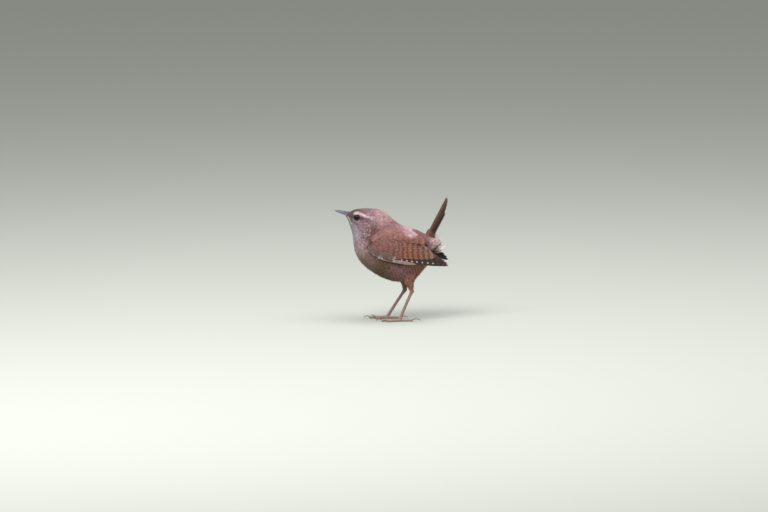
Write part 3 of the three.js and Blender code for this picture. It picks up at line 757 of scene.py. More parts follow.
@dataclass
class Body:
    """The body from the bill's root to the vent, as slices from the back's outline to the belly's.

    Attributes:
        stations: for each slice the back's (x, z), the belly's (x, z) and half its width.
        roundness: the slices' superellipse power, where 2 is an ellipse.
        depth: how deep the coat is at stations counted from the bill, as (station, millimetres).
        steps: how many slices are worked out.
    """

    stations: tuple[tuple[float, ...], ...] = (
        (-25.9, 62.6, -26.3, 59.9, 1.6),
        (-24.3, 63.5, -25.0, 57.3, 4.1),
        (-21.3, 64.6, -23.8, 53.6, 6.7),
        (-17.4, 65.2, -22.8, 50.2, 8.4),
        (-12.6, 65.2, -22.3, 46.7, 9.6),
        (-7.6, 64.6, -21.8, 42.8, 10.7),
        (-3.6, 62.4, -20.8, 38.6, 12.0),
        (0.0, 59.4, -17.9, 33.6, 12.9),
        (4.0, 56.4, -12.5, 28.9, 13.4),
        (8.6, 54.6, -5.6, 25.0, 13.3),
        (13.2, 52.7, 2.4, 22.7, 12.4),
        (17.4, 50.9, 10.9, 23.9, 10.4),
        (20.8, 49.6, 17.0, 29.1, 8.4),
        (23.8, 48.4, 21.3, 35.4, 6.0),
        (26.2, 46.9, 24.7, 41.8, 3.8),
        (27.4, 45.4, 27.0, 44.0, 1.2),
    )
    roundness: float = 2.25
    depth: Pairs = (
        (0, 0.2), (1, 0.35), (2.5, 0.5), (5, 0.8), (7, 1.1), (12, 1.1), (13, 1.5), (14, 2.2), (15, 2.4),
    )
    steps: int = 480

    def __post_init__(self) -> None:
        """Works out the slices."""
        self.places = np.linspace(0, len(self.stations) - 1, self.steps)
        line = spline(np.array(self.stations), self.places)
        self.centres = (line[:, 0:2] + line[:, 2:4]) / 2
        self.rises = line[:, 0:2] - self.centres
        self.heights = np.linalg.norm(self.rises, axis=1)
        self.halves = line[:, 4]
        self.depths = np.interp(self.places, *zip(*self.depth))

    def ring(self, index: int, sides: int, inset: float) -> Values:
        """The outline of one slice, inset by some millimetres."""
        up, out = superellipse(sides, self.roundness)
        share = max(0.15, 1 - inset / self.heights[index])
        x, z = (self.centres[index][:, None] + self.rises[index][:, None] * share * up)
        return np.stack([x, max(self.halves[index] - inset, 0.2) * out, z], axis=1)

    def locate(self, points: Values) -> tuple[Values, Values, Values]:
        """Finds the slice through each point.

        Args:
            points: places in millimetres.

        Returns:
            For each point the slice's number, the share of the way up from its middle to the back,
            and the share of the way out to its side.
        """
        found = np.zeros(len(points), int)
        batch = 8000
        for start in range(0, len(points), batch):
            part = points[start : start + batch]
            ahead = (part[:, 0:1] - self.centres[:, 0]) * self.rises[:, 1]
            beyond = ahead - (part[:, 2:3] - self.centres[:, 1]) * self.rises[:, 0] > 0
            found[start : start + batch] = np.clip(beyond.sum(1) - 1, 0, self.steps - 1)
        off = points[:, [0, 2]] - self.centres[found]
        share = (off * self.rises[found]).sum(1) / self.heights[found] ** 2
        return found, share, points[:, 1] / self.halves[found]

    def lie(self, points: Values) -> Values:
        """The direction in which the coat lies at each point, before it is laid on the skin."""
        found, share, out = self.locate(points)
        after = np.clip(found + 6, 0, self.steps - 1)
        before = np.clip(found - 6, 0, self.steps - 1)
        ahead = self.centres[after] - self.centres[before]
        ahead = ahead + (self.rises[after] - self.rises[before]) * share[:, None]
        wider = (self.halves[after] - self.halves[before]) * out
        return normalised(np.stack([ahead[:, 0], wider, ahead[:, 1]], axis=1))

    def back_height(self, x: float) -> float:
        """How high the back's outline lies at x."""
        top = self.centres + self.rises
        return float(np.interp(x, top[:, 0], top[:, 1]))

    def half_width(self, x: float, z: float) -> float:
        """Half the body's width where a line across the bird meets it."""
        found, share, _ = self.locate(np.array([[x, 0.0, z]]))
        room = max(0.0, 1 - abs(float(share[0])) ** self.roundness)
        return float(self.halves[found[0]]) * room ** (1 / self.roundness)


@dataclass
class Leg:
    """One leg's places, as (x, z) and the distance from the body's middle plane, in millimetres."""

    side: Side
    heel: Pair
    foot: Pair
    hip: Pair
    spreads: tuple[float, float, float] = (5.4, 6.6, 6.9)

    def place(self, joint: str) -> Values:
        """The hip, heel or foot as a point."""
        x, z = {"hip": self.hip, "heel": self.heel, "foot": self.foot}[joint]
        spread = dict(zip(("hip", "heel", "foot"), self.spreads))[joint]
        return np.array([x, self.side.value * spread, z])


LEGS = (
    Leg(Side.LEFT, heel=(11.6, 17.7), foot=(4.6, 1.15), hip=(7.4, 31.0)),
    Leg(Side.RIGHT, heel=(7.5, 16.8), foot=(-2.6, 1.15), hip=(7.6, 31.0)),
)


class Zone(Enum):
    """The parts of the coat that are pieces of their own."""

    FACE = 1
    HEAD = 2
    NECK = 3
    BREAST = 4
    MANTLE = 5
    BELLY = 6
    FLANK = 7
    RUMP = 8
    THIGH = 9
    WING_LEFT = 10
    WING_RIGHT = 11
    VENT = 12
    TAIL = 13
    SHOULDER_LEFT = 14
    SHOULDER_RIGHT = 15


@dataclass
class Skin:
    """The one skin of head, neck, torso, rump and thighs, inside them by the coat's depth."""

    body: Body
    rows: int = 200
    sides: int = 128
    voxel: float = 0.34
    thigh_top: float = 6.2
    thigh_bottom: float = 1.45
    thigh_taper: float = 0.55
    thigh_depth: float = 0.55
    thigh_narrow: float = 0.8
    thigh_bow: float = -0.2
    eye: Pair = (-20.3, 60.4)
    eye_clear: float = 1.7
    frontal: Pair = (0.22, 1.15)
    wing_clear: Pairs = (
        (-10.5, 44.5), (-6.0, 40.5), (2.0, 37.5), (14.0, 36.0), (22.0, 38.0), (18.0, 44.5), (9.0, 47.5),
        (-3.0, 48.5),
    )

    def build(self, finish: Material) -> Object:
        """Makes the skin with its bake map and all that the coat needs to know.

        Args:
            finish: the skin's material.

        Returns:
            The skin's piece.
        """
        body = self.body
        numbers = np.linspace(0, body.steps - 1, self.rows).astype(int)
        rings = np.array([body.ring(i, self.sides, body.depths[i]) for i in numbers])
        parts = [closed_tube(rings), *(closed_tube(self.thigh(leg)) for leg in LEGS)]
        rough = make_piece("rough_skin", *merge(parts), None)
        remesh = rough.modifiers.new("one skin", "REMESH")
        remesh.mode = "VOXEL"
        remesh.voxel_size = self.voxel * MM
        smooth = rough.modifiers.new("soft creases", "SMOOTH")
        smooth.factor = 0.5
        smooth.iterations = 8
        mesh = evaluated_mesh(rough, "skin")
        bpy.data.objects.remove(rough)
        mesh.polygons.foreach_set("use_smooth", [True] * len(mesh.polygons))
        mesh.materials.append(finish)
        self.describe(mesh)
        return show("skin", mesh)

    def thigh(self, leg: Leg) -> Values:
        """Rings round one thigh, from the hip to the heel."""
        t = np.linspace(0, 0.99, 40)
        hip, heel = leg.place("hip"), leg.place("heel")
        bend = mix(hip, heel, 0.5) + np.array([self.thigh_bow, 0, 0])
        along = [((1 - k) ** 2) * hip + 2 * k * (1 - k) * bend + k * k * heel for k in t]
        radius = mix(self.thigh_top, self.thigh_bottom, t**self.thigh_taper) - self.thigh_depth
        sizes = np.stack([radius * self.thigh_narrow, radius], axis=1)
        return rings_along(np.array(along), sizes, 40)

    def describe(self, mesh: Mesh) -> None:
        """Stores the bake map, the lie, the zones, the feather sizes and the tones on the skin."""
        points = read_points(mesh)
        found, share, out = self.body.locate(points)
        place = self.body.places[found]
        power = self.body.roundness
        past = (np.abs(share) ** power + np.abs(out) ** power) - 1
        leg_share = smoothstep(-0.02, 0.3, past) * (points[:, 2] < 30)
        lie = self.body.lie(points)
        for leg in LEGS:
            near = leg_share * (points[:, 1] * leg.side.value > 0)
            down = normalised(leg.place("heel") - leg.place("hip"))
            lie = normalised(mix(lie, down, near[:, None]))
        lie[place < mix(*self.frontal, smoothstep(-0.1, 0.7, share))] *= -1
        length = np.interp(place, (0, 1.5, 3, 5, 7, 9, 12, 15), (0.85, 1.05, 1.6, 2.3, 3.0, 3.4, 3.6, 3.2))
        low = smoothstep(24.5, 19.0, points[:, 2])
        length = mix(length, mix(2.0, 1.2, low), leg_share)
        near_eye = np.linalg.norm(points[:, [0, 2]] - self.eye, axis=1)
        length = length * mix(0.45, 1.0, smoothstep(self.eye_clear, self.eye_clear + 3.0, near_eye))
        rise = mix(np.minimum(self.body.depths[found], 1.3), mix(self.thigh_depth, 0.3, low), leg_share)
        specks = mix(0.35, 1.0, smoothstep(7.5, 5.5, place) * smoothstep(-0.75, -0.3, share))
        barred = smoothstep(8.0, 11.0, place) * mix(0.35, 1.0, smoothstep(0.2, -0.6, share))
        store(mesh, lie=lie, zone=self.zones(place, share, out, leg_share),
              OFBake=self.unrolled(mesh, place, np.arctan2(out, share), points, leg_share),
              feather_length=length * MM, feather_rise=rise * 0.9 * MM, bare=self.bare(points, near_eye, out),
              tone=plumage_tones(points), coat_tone=plumage_tones(points + lie * (length * 0.7)[:, None]),
              speckled=specks * mix(0.5, 1.0, smoothstep(0.0, 1.5, place)),
              barred=barred * (1 - 0.55 * leg_share))

    def bare(self, points: Values, near_eye: Values, out: Values) -> Values:
        """1 where no feather grows: at the eyes and well under the wings."""
        eye = 1 - smoothstep(self.eye_clear - 0.15, self.eye_clear + 0.05, near_eye)
        inside = np.ones(len(points), bool)
        corners = np.array(self.wing_clear)
        for start, end in zip(corners, np.roll(corners, -1, axis=0)):
            edge, off = end - start, points[:, [0, 2]] - start
            inside &= edge[0] * off[:, 1] - edge[1] * off[:, 0] > 0
        return np.maximum(eye, inside & (np.abs(out) > 0.6))

    def zones(self, place: Values, share: Values, out: Values, leg_share: Values) -> Values:
        """The zone's number at each point."""
        zone = np.full(len(place), Zone.MANTLE.value)
        for kind, there in (
            (Zone.BREAST, (place > 5) & (share < 0.0)), (Zone.BELLY, (place > 8) & (share < 0.1)),
            (Zone.FLANK, (place > 8) & (share < 0.1) & (np.abs(out) > 0.62)), (Zone.RUMP, place > 11),
            (Zone.NECK, place < 5.6), (Zone.HEAD, place < 4.2), (Zone.FACE, place < 2.4),
            (Zone.VENT, (place > 13.2) & (share < 0.75)), (Zone.THIGH, leg_share > 0.5),
        ):
            zone[there] = kind.value
        return zone

    def unrolled(self, mesh: Mesh, place: Values, turn: Values, points: Values, leg_share: Values) -> Values:
        """The skin's corners unrolled on the bake map: the body in its lower part and the thighs above."""
        count = len(self.body.stations) - 1
        corners = np.zeros(len(mesh.loops), np.int32)
        mesh.loops.foreach_get("vertex_index", corners)
        sizes = np.zeros(len(mesh.polygons), np.int32)
        mesh.polygons.foreach_get("loop_total", sizes)
        face = np.repeat(np.arange(len(sizes)), sizes)
        first = np.repeat(np.concatenate([[0], np.cumsum(sizes)[:-1]]), sizes)
        v = turn[corners] / (2 * math.pi) + 0.5
        v = v + np.round(v[first] - v)
        u = place[corners] / count
        on_leg = (np.add.reduceat(leg_share[corners], np.unique(first)) / sizes > 0.5)[face]
        side = np.sign(points[corners, 1])
        down = np.clip((31 - points[corners, 2]) / 15, 0, 1)
        round_leg = np.clip((points[corners, 0] - 2) / 14, 0, 1)
        inner = np.abs(points[corners, 1]) < 6
        leg_u = 0.25 + side * 0.22 + 0.2 * (round_leg - 0.5) + 0.5 * inner
        return np.stack([np.where(on_leg, leg_u, u), np.where(on_leg, 0.84 + 0.14 * down, v * 0.8)], axis=1)


@dataclass(frozen=True)
class Tuft:
    """The tip of a body feather: a fan of barbs that part towards its end, 1 long, 1 wide and 1 high.

    Attributes:
        barbs: how many barbs it has.
        parting: the share of its length where they part.
        fan: how much wider its end is than its root.
        ragged: how much the barbs' lengths differ.
        thin: a barb's width at its middle, as a share of its width where the barbs part.
        camber: how far its edges bend down.
    """

    barbs: int = 5
    parting: float = 0.5
    fan: float = 0.7
    ragged: float = 0.16
    thin: float = 0.62
    camber: float = 0.5

    def build(self, name: str, chance: np.random.Generator) -> Object:
        """Makes one tuft, its root at the origin and its tip towards +X."""
        points: list[list[float]] = []
        faces: list[list[int]] = []
        spots: list[list[float]] = []
        for barb in range(self.barbs):
            middle = (barb + 0.5) / self.barbs - 0.5
            half = 0.5 / self.barbs
            reach = 1 - self.ragged * chance.random() - 0.35 * (2 * middle) ** 2
            roll = chance.normal(0, 0.35)
            rows = (
                (0.0, 0.45, 1.0),
                (self.parting, mix(0.45, 1.0, self.parting), 1.0),
                (mix(self.parting, reach, 0.55), 1.0, self.thin),
                (reach, 1.0 + 0.1 * self.fan, 0.0),
            )
            start = len(points)
            for along, spread, width in rows:
                centre = middle * spread * (1 + self.fan * along)
                for edge in (-1, 1) if width else (0,):
                    across = centre + edge * half * width * spread
                    height = 1 - (1 - along) ** 2 - self.camber * (2 * across) ** 2 * 0.25
                    height += roll * edge * half * width * along
                    points.append([along, across, height])
                    spots.append([along, across + 0.5])
            faces.append([start, start + 2, start + 3, start + 1])
            faces.append([start + 2, start + 4, start + 5, start + 3])
            faces.append([start + 4, start + 6, start + 5])
        mesh = bpy.data.meshes.new(name)
        mesh.from_pydata(points, [], faces)
        mesh.polygons.foreach_set("use_smooth", [True] * len(faces))
        layer = mesh.uv_layers.new(name="barb")
        for loop in mesh.loops:
            layer.data[loop.index].uv = spots[loop.vertex_index]
        return bpy.data.objects.new(name, mesh)


class Planting:
    """The Geometry Nodes tree that plants tufts over a skin, so that they lie along its coat's lie."""

    def __init__(self) -> None:
        """Builds the tree."""
        self.tree = bpy.data.node_groups.new("plant feathers", "GeometryNodeTree")
        for name, kind in (
            ("Skin", "NodeSocketGeometry"), ("Tufts", "NodeSocketCollection"),
            ("Finish", "NodeSocketMaterial"),
            ("Zone", "NodeSocketInt"), ("Spacing", "NodeSocketFloat"), ("Width", "NodeSocketFloat"),
            ("Length", "NodeSocketFloat"), ("Rise", "NodeSocketFloat"), ("Unruly", "NodeSocketFloat"),
            ("Seed", "NodeSocketInt"),
        ):
            self.tree.interface.new_socket(name, in_out="INPUT", socket_type=kind)
        self.tree.interface.new_socket("Coat", in_out="OUTPUT", socket_type="NodeSocketGeometry")
        self.wire()

    def wire(self) -> None:
        """Adds the nodes and links them."""
        add = partial(add_node, self.tree)
        given = add("NodeGroupInput").outputs
        known = {
            name: add("GeometryNodeInputNamedAttribute", {"Name": name}, data_type=kind)
            for name, kind in (
                ("zone", "INT"), ("bare", "FLOAT"), ("lie", "FLOAT_VECTOR"), ("feather_length", "FLOAT"),
                ("feather_rise", "FLOAT"), (BAKE_MAP, "FLOAT_VECTOR"), ("barb", "FLOAT_VECTOR"),
                ("root_place", "FLOAT_VECTOR"), ("skin_normal", "FLOAT_VECTOR"),
            )
        }
        in_zone = add("FunctionNodeCompare", {2: known["zone"], 3: given["Zone"]},
                      data_type="INT", operation="EQUAL")
        clothed = add("FunctionNodeCompare", {0: known["bare"], 1: 0.5},
                      data_type="FLOAT", operation="LESS_THAN")
        chosen = add("FunctionNodeBooleanMath", {0: in_zone, 1: clothed}, operation="AND")
        area = add("Math", {0: given["Spacing"], 1: given["Spacing"]}, operation="MULTIPLY")
        density = add("Math", {0: 2.2, 1: area}, operation="DIVIDE")
        spread = add(
            "GeometryNodeDistributePointsOnFaces",
            {"Mesh": given["Skin"], "Selection": chosen, "Distance Min": given["Spacing"],
             "Density Max": density, "Seed": given["Seed"]},
            distribute_method="POISSON",
        ).outputs
        kept = add("GeometryNodeStoreNamedAttribute",
                   {"Geometry": spread["Points"], "Name": "root_place", "Value": known[BAKE_MAP]},
                   data_type="FLOAT_VECTOR", domain="POINT")
        kept = add("GeometryNodeStoreNamedAttribute",
                   {"Geometry": kept, "Name": "skin_normal", "Value": spread["Normal"]},
                   data_type="FLOAT_VECTOR", domain="POINT")
        bare_points = add("GeometryNodeRemoveAttribute", {"Geometry": kept, "Name": BAKE_MAP})
        laid = add("FunctionNodeAlignRotationToVector", {"Vector": known["lie"]}, axis="X")
        laid = add("FunctionNodeAlignRotationToVector",
                   {"Rotation": laid, "Vector": known["skin_normal"]}, axis="Z", pivot_axis="X")
        most = add("CombineXYZ", {0: 0.25, 1: 0.12, 2: 0.32})
        most = add("VectorMath", {0: most, "Scale": given["Unruly"]}, operation="SCALE")
        least = add("VectorMath", {0: most, "Scale": -1.0}, operation="SCALE")
        stray = add("FunctionNodeRandomValue", {0: least, 1: most, "Seed": given["Seed"]},
                    data_type="FLOAT_VECTOR")
        stray = add("FunctionNodeEulerToRotation", {0: stray})
        turned = add("FunctionNodeRotateRotation", {0: laid, 1: stray}, rotation_space="LOCAL")
        size = add("FunctionNodeRandomValue", {2: 0.82, 3: 1.18, "ID": 0, "Seed": 7},
                   data_type="FLOAT").outputs[1]
        long = add("Math", {0: known["feather_length"], 1: given["Length"]}, operation="MULTIPLY")
        long = add("Math", {0: long, 1: size}, operation="MULTIPLY")
        wide = add("Math", {0: long, 1: given["Width"]}, operation="MULTIPLY")
        high = add("Math", {0: known["feather_rise"], 1: given["Rise"]}, operation="MULTIPLY")
        scale = add("CombineXYZ", {0: long, 1: wide, 2: high})
        kinds = add("GeometryNodeCollectionInfo",
                    {"Collection": given["Tufts"], "Separate Children": True, "Reset Children": True})
        which = add("FunctionNodeRandomValue", {4: 0, 5: 3, "Seed": 3}, data_type="INT").outputs[2]
        planted = add(
            "GeometryNodeInstanceOnPoints",
            {"Points": bare_points, "Instance": kinds, "Pick Instance": True,
             "Instance Index": which, "Rotation": turned, "Scale": scale},
        )
        own = add("FunctionNodeRandomValue", {2: 0.0, 3: 1.0, "Seed": 11}, data_type="FLOAT").outputs[1]
        planted = add("GeometryNodeStoreNamedAttribute",
                      {"Geometry": planted, "Name": "own", "Value": own},
                      data_type="FLOAT", domain="INSTANCE")
        real = add("GeometryNodeRealizeInstances", {"Geometry": planted})
        patch = add("VectorMath", {0: known["barb"], 1: (0.5, 0.5, 0.0)}, operation="SUBTRACT")
        patch = add("VectorMath", {0: patch, "Scale": BAKE_PATCH}, operation="SCALE")
        patch = add("VectorMath", {0: patch, 1: known["root_place"]}, operation="ADD")
        mapped = add("GeometryNodeStoreNamedAttribute",
                     {"Geometry": real, "Name": BAKE_MAP, "Value": patch},
                     data_type="FLOAT2", domain="CORNER")
        dressed = add("GeometryNodeSetMaterial", {"Geometry": mapped, "Material": given["Finish"]})
        add("NodeGroupOutput", {0: dressed})


@dataclass
class Coat:
    """One piece of the coat, planted on one zone of a skin.

    Attributes:
        zone: where it grows.
        spacing: millimetres between the tufts' roots.
        tuft: the kind of tuft.
        width: a tuft's width as a share of its length.
        length: a factor on the skin's own feather lengths.
        rise: a factor on how far the tips stand off the skin.
        unruly: how far the tufts stray from the lie.
    """

    zone: Zone
    spacing: float
    tuft: Tuft
    width: float = 0.42
    length: float = 1.0
    rise: float = 1.0
    unruly: float = 1.0
    kinds: int = 4

    def plant(self, planting: Planting, skin: Object, finish: Material) -> Object:
        """Plants the tufts and makes them one plain mesh.

        Args:
            planting: the tree that plants them.
            skin: the piece that they grow from.
            finish: their material.

        Returns:
            The coat's piece.
        """
        name = f"coat_{self.zone.name.lower()}"
        chance = np.random.default_rng(self.zone.value)
        tufts = bpy.data.collections.new(name)
        for kind in range(self.kinds):
            tufts.objects.link(self.tuft.build(f"{name}_tuft_{kind}", chance))
        bed = show(name, skin.data.copy())
        modifier = bed.modifiers.new("plant feathers", "NODES")
        modifier.node_group = planting.tree
        values = {
            "Tufts": tufts, "Finish": finish, "Zone": self.zone.value, "Spacing": self.spacing * MM,
            "Width": self.width, "Length": self.length, "Rise": self.rise, "Unruly": self.unruly,
            "Seed": self.zone.value,
        }
        for socket in planting.tree.interface.items_tree:
            if socket.in_out == "INPUT" and socket.name in values:
                modifier[socket.identifier] = values[socket.name]
        harden(bed)
        for tuft in list(tufts.objects):
            bpy.data.objects.remove(tuft)
        bpy.data.collections.remove(tufts)
        log.info("%s: %d triangles", name, sum(len(p.vertices) - 2 for p in bed.data.polygons))
        return bed


@dataclass(frozen=True)
class VaneKind:
    """The look of one kind of flight feather or covert.

    Attributes:
        tone: the colour of its vane.
        edge: the colour of its outer edge.
        bars: how strong its dark bars are, from 0 to 1.
        spots: how strong the pale spots on its outer web are, from 0 to 1.
        spots_end: the share of its length where the pale spots stop.
        tip: how pale its tip is, from 0 to 1.
        shaft: where the shaft lies across the vane, from -1 at its lower edge to 1.
        point: the share of its length where its tip starts to round in.
        camber: how far its edges bend down, in millimetres.
        rise: the share of its length over which it rises to the surface.
        fray: how ragged its edges are, as a share of its width.
        end: the colour towards its tip, where that differs.
    """

    tone: str
    edge: str
    bars: float = 0.0
    spots: float = 0.0
    spots_end: float = 2.0
    tip: float = 0.0
    shaft: float = 0.0
    point: float = 0.8
    camber: float = 0.15
    rise: float = 1.0
    fray: float = 0.03
    end: Optional[str] = None


@dataclass
class Vane:
    """One feather laid on a surface, from its root to its tip in the surface's own (u, v).

    Attributes:
        root: where it starts.
        tip: where it ends.
        width: its full width in millimetres.
        depth: how deep it lies under the surface.
        kind: its look.
        tilt: how much deeper its lower edge lies than its middle; below 0 it overlaps the next one down.
        sink: how much deeper its root lies than its tip.
    """

    root: Pair
    tip: Pair
    width: float
    depth: float
    kind: VaneKind
    tilt: float = 0.0
    sink: float = 0.0


Lay = Callable[[Values, Values, Values], Values]
Phase = Callable[[Values, Values], Values]


class VaneMaker:
    """Makes many vanes as one piece, with all that their finish needs to know."""

    def __init__(
        self, name: str, lay: Lay, phase: Phase, seed: int, rows: int = 34, columns: int = 9
    ) -> None:
        """Starts an empty piece.

        Args:
            name: the piece's name.
            lay: places (u, v, depth) on the bird, in millimetres.
            phase: counts the dark bars at (u, v).
            seed: the seed for what differs from feather to feather.
            rows: points along a vane.
            columns: points across it.
        """
        self.name, self.lay, self.phase, self.rows, self.columns = name, lay, phase, rows, columns
        self.chance = np.random.default_rng(seed)
        self.points: list[Values] = []
        self.faces: list[list[int]] = []
        self.facts: dict[str, list[Values]] = {"tone": [], "vane": [], "pattern": [], "own": [], "phase": []}

    def add(self, vane: Vane) -> None:
        """Adds one vane."""
        kind, chance = vane.kind, self.chance
        t = np.linspace(0, 1, self.rows) ** 0.85
        t, c = np.meshgrid(t, np.linspace(-1, 1, self.columns), indexing="ij")
        root, tip = np.array(vane.root), np.array(vane.tip)
        axis = tip - root
        long = float(np.linalg.norm(axis))
        across = np.array([-axis[1], axis[0]]) / long
        body = mix(0.62, 1.0, smoothstep(0.0, 0.4, t))
        end = np.clip((t - kind.point) / (1 - kind.point), 0, 1)
        half = vane.width / 2 * body * (1 - end**2.4) ** (1 / 1.9)
        half = half * (1 + kind.fray * chance.normal(size=(self.rows, 1)) * (np.abs(c) > 0.9))
        off = c * half
        u, v = (root[k] + axis[k] * t + across[k] * off for k in (0, 1))
        ridge = np.exp(-(((c - kind.shaft) / 0.12) ** 2)) * 0.07 * (1 - t)
        sunk = vane.sink * (1 - smoothstep(0.0, kind.rise, t))
        depth = vane.depth + sunk - vane.tilt * c + kind.camber * c**2 - ridge
        start = sum(len(p) for p in self.points)
        self.points.append(self.lay(u.ravel(), v.ravel(), depth.ravel()))
        for row in range(self.rows - 1):
            for column in range(self.columns - 1):
                a = start + row * self.columns + column
                self.faces.append([a, a + self.columns, a + self.columns + 1, a + 1])
        pale = smoothstep(0.62, 0.95, np.abs(c)) * 0.85
        tone = mix(linear(kind.tone), linear(kind.edge), pale[..., None])
        if kind.end:
            tone = mix(tone, linear(kind.end), smoothstep(0.62, 0.95, t)[..., None] * 0.8)
        tone = tone * (1 + 0.07 * chance.normal())
        web = smoothstep(kind.shaft + 0.05, kind.shaft - 0.25, c)
        tip_share = kind.tip * smoothstep(0.86, 0.97, t)
        self.facts["tone"].append(tone.reshape(-1, 4))
        self.facts["vane"].append(np.stack([t * long, off - kind.shaft * half], axis=-1).reshape(-1, 2))
        spots = kind.spots * web * smoothstep(kind.spots_end + 0.03, kind.spots_end - 0.03, t)
        marks = np.stack([np.full(t.shape, kind.bars), spots, tip_share], axis=-1)
        self.facts["pattern"].append(marks.reshape(-1, 3))
        self.facts["own"].append(np.full(t.size, chance.random()))
        self.facts["phase"].append(self.phase(u.ravel(), v.ravel()))

    def build(self, finish: Material, thick: float = 0.1) -> Object:
        """Makes the piece with walls on both faces.

        Args:
            finish: its material.
            thick: the vanes' thickness in millimetres.

        Returns:
            The piece.
        """
        facts = {name: np.concatenate(parts) for name, parts in self.facts.items()}
        piece = make_piece(self.name, np.vstack(self.points), self.faces, finish, **facts)
        wall = piece.modifiers.new("wall", "SOLIDIFY")
        wall.thickness = thick * MM
        wall.offset = -1.0
        harden(piece)
        log.info("%s: %d faces", self.name, len(piece.data.polygons))
        return piece


class Quill(Enum):
    """The kinds of feather on the wings and the tail."""

    PRIMARY = VaneKind("#3a241a", "#5f3e31", bars=0.7, shaft=-0.45, point=0.6, camber=0.1, end="#3d2b27")
    SPOTTED_PRIMARY = VaneKind(
        "#3a241a", "#553a30", bars=0.6, spots=1.0, spots_end=0.8, shaft=-0.5, point=0.6, camber=0.1
    )
    OUTER_PRIMARY = VaneKind("#8f7470", "#a58b86", bars=0.2, shaft=-0.3, point=0.6, camber=0.1)
    SECONDARY = VaneKind("#7c4a3a", "#b47358", bars=0.95, shaft=-0.3, camber=0.08, rise=0.4, end="#94695f")
    TERTIAL = VaneKind(
        "#824f3f", "#ad735d", bars=0.85, shaft=-0.1, point=0.7, camber=0.08, rise=0.5, end="#946b62"
    )
    GREATER_COVERT = VaneKind("#7d4f41", "#9c6654", bars=0.8, shaft=-0.1, point=0.55)
    PRIMARY_COVERT = VaneKind("#5d4039", "#7d5d54", bars=0.4, tip=0.6, shaft=-0.2, point=0.6)
    MARGINAL = VaneKind("#5f4843", "#7c635e", tip=0.3, point=0.5)
    ALULA = VaneKind("#5b4743", "#8a726b", spots=0.3, tip=0.6, shaft=-0.3, point=0.65)
    MIDDLE_TAIL = VaneKind("#4c2c20", "#774b3a", bars=0.9, shaft=0.0, point=0.85, camber=0.55, fray=0.05)
    # The lower pairs' much darker tone is partly painted shade: the dark side of the cocked tail, under the
    # middle pair.
    TAIL = VaneKind("#2e1c17", "#4a2f27", bars=0.9, shaft=0.0, point=0.85, camber=0.55, fray=0.07)
    OUTER_TAIL = VaneKind(
        "#33231e", "#7d675d", bars=0.8, spots=0.9, shaft=-0.4, point=0.85, camber=0.4, fray=0.1
    )


WING_AREAS = (
    Area("scapulars", (-4.0, 49.0), 5.0, "#885f5b"),
    Area("wrist", (-13.0, 44.0), 3.5, "#836059"),
    Area("lesser coverts", (-7.0, 44.5), 4.0, "#885f59"),
    Area("middle coverts", (-2.0, 43.0), 4.5, "#845a52"),
    Area("inner coverts", (5.0, 47.0), 5.0, "#895d56"),
    Area("hand", (-4.0, 38.5), 3.0, "#6f5047"),
    Area("tertial roots", (11.0, 46.0), 5.0, "#8c5c4d"),
)

WING_MARKINGS = (
    Marking("scaly edge", ((-13.4, 43.3), (-11.2, 40.6), (-8.2, 38.9), (-3.8, 37.4)),
            1.2, "#b39c95", 0.55, 0.9),
)


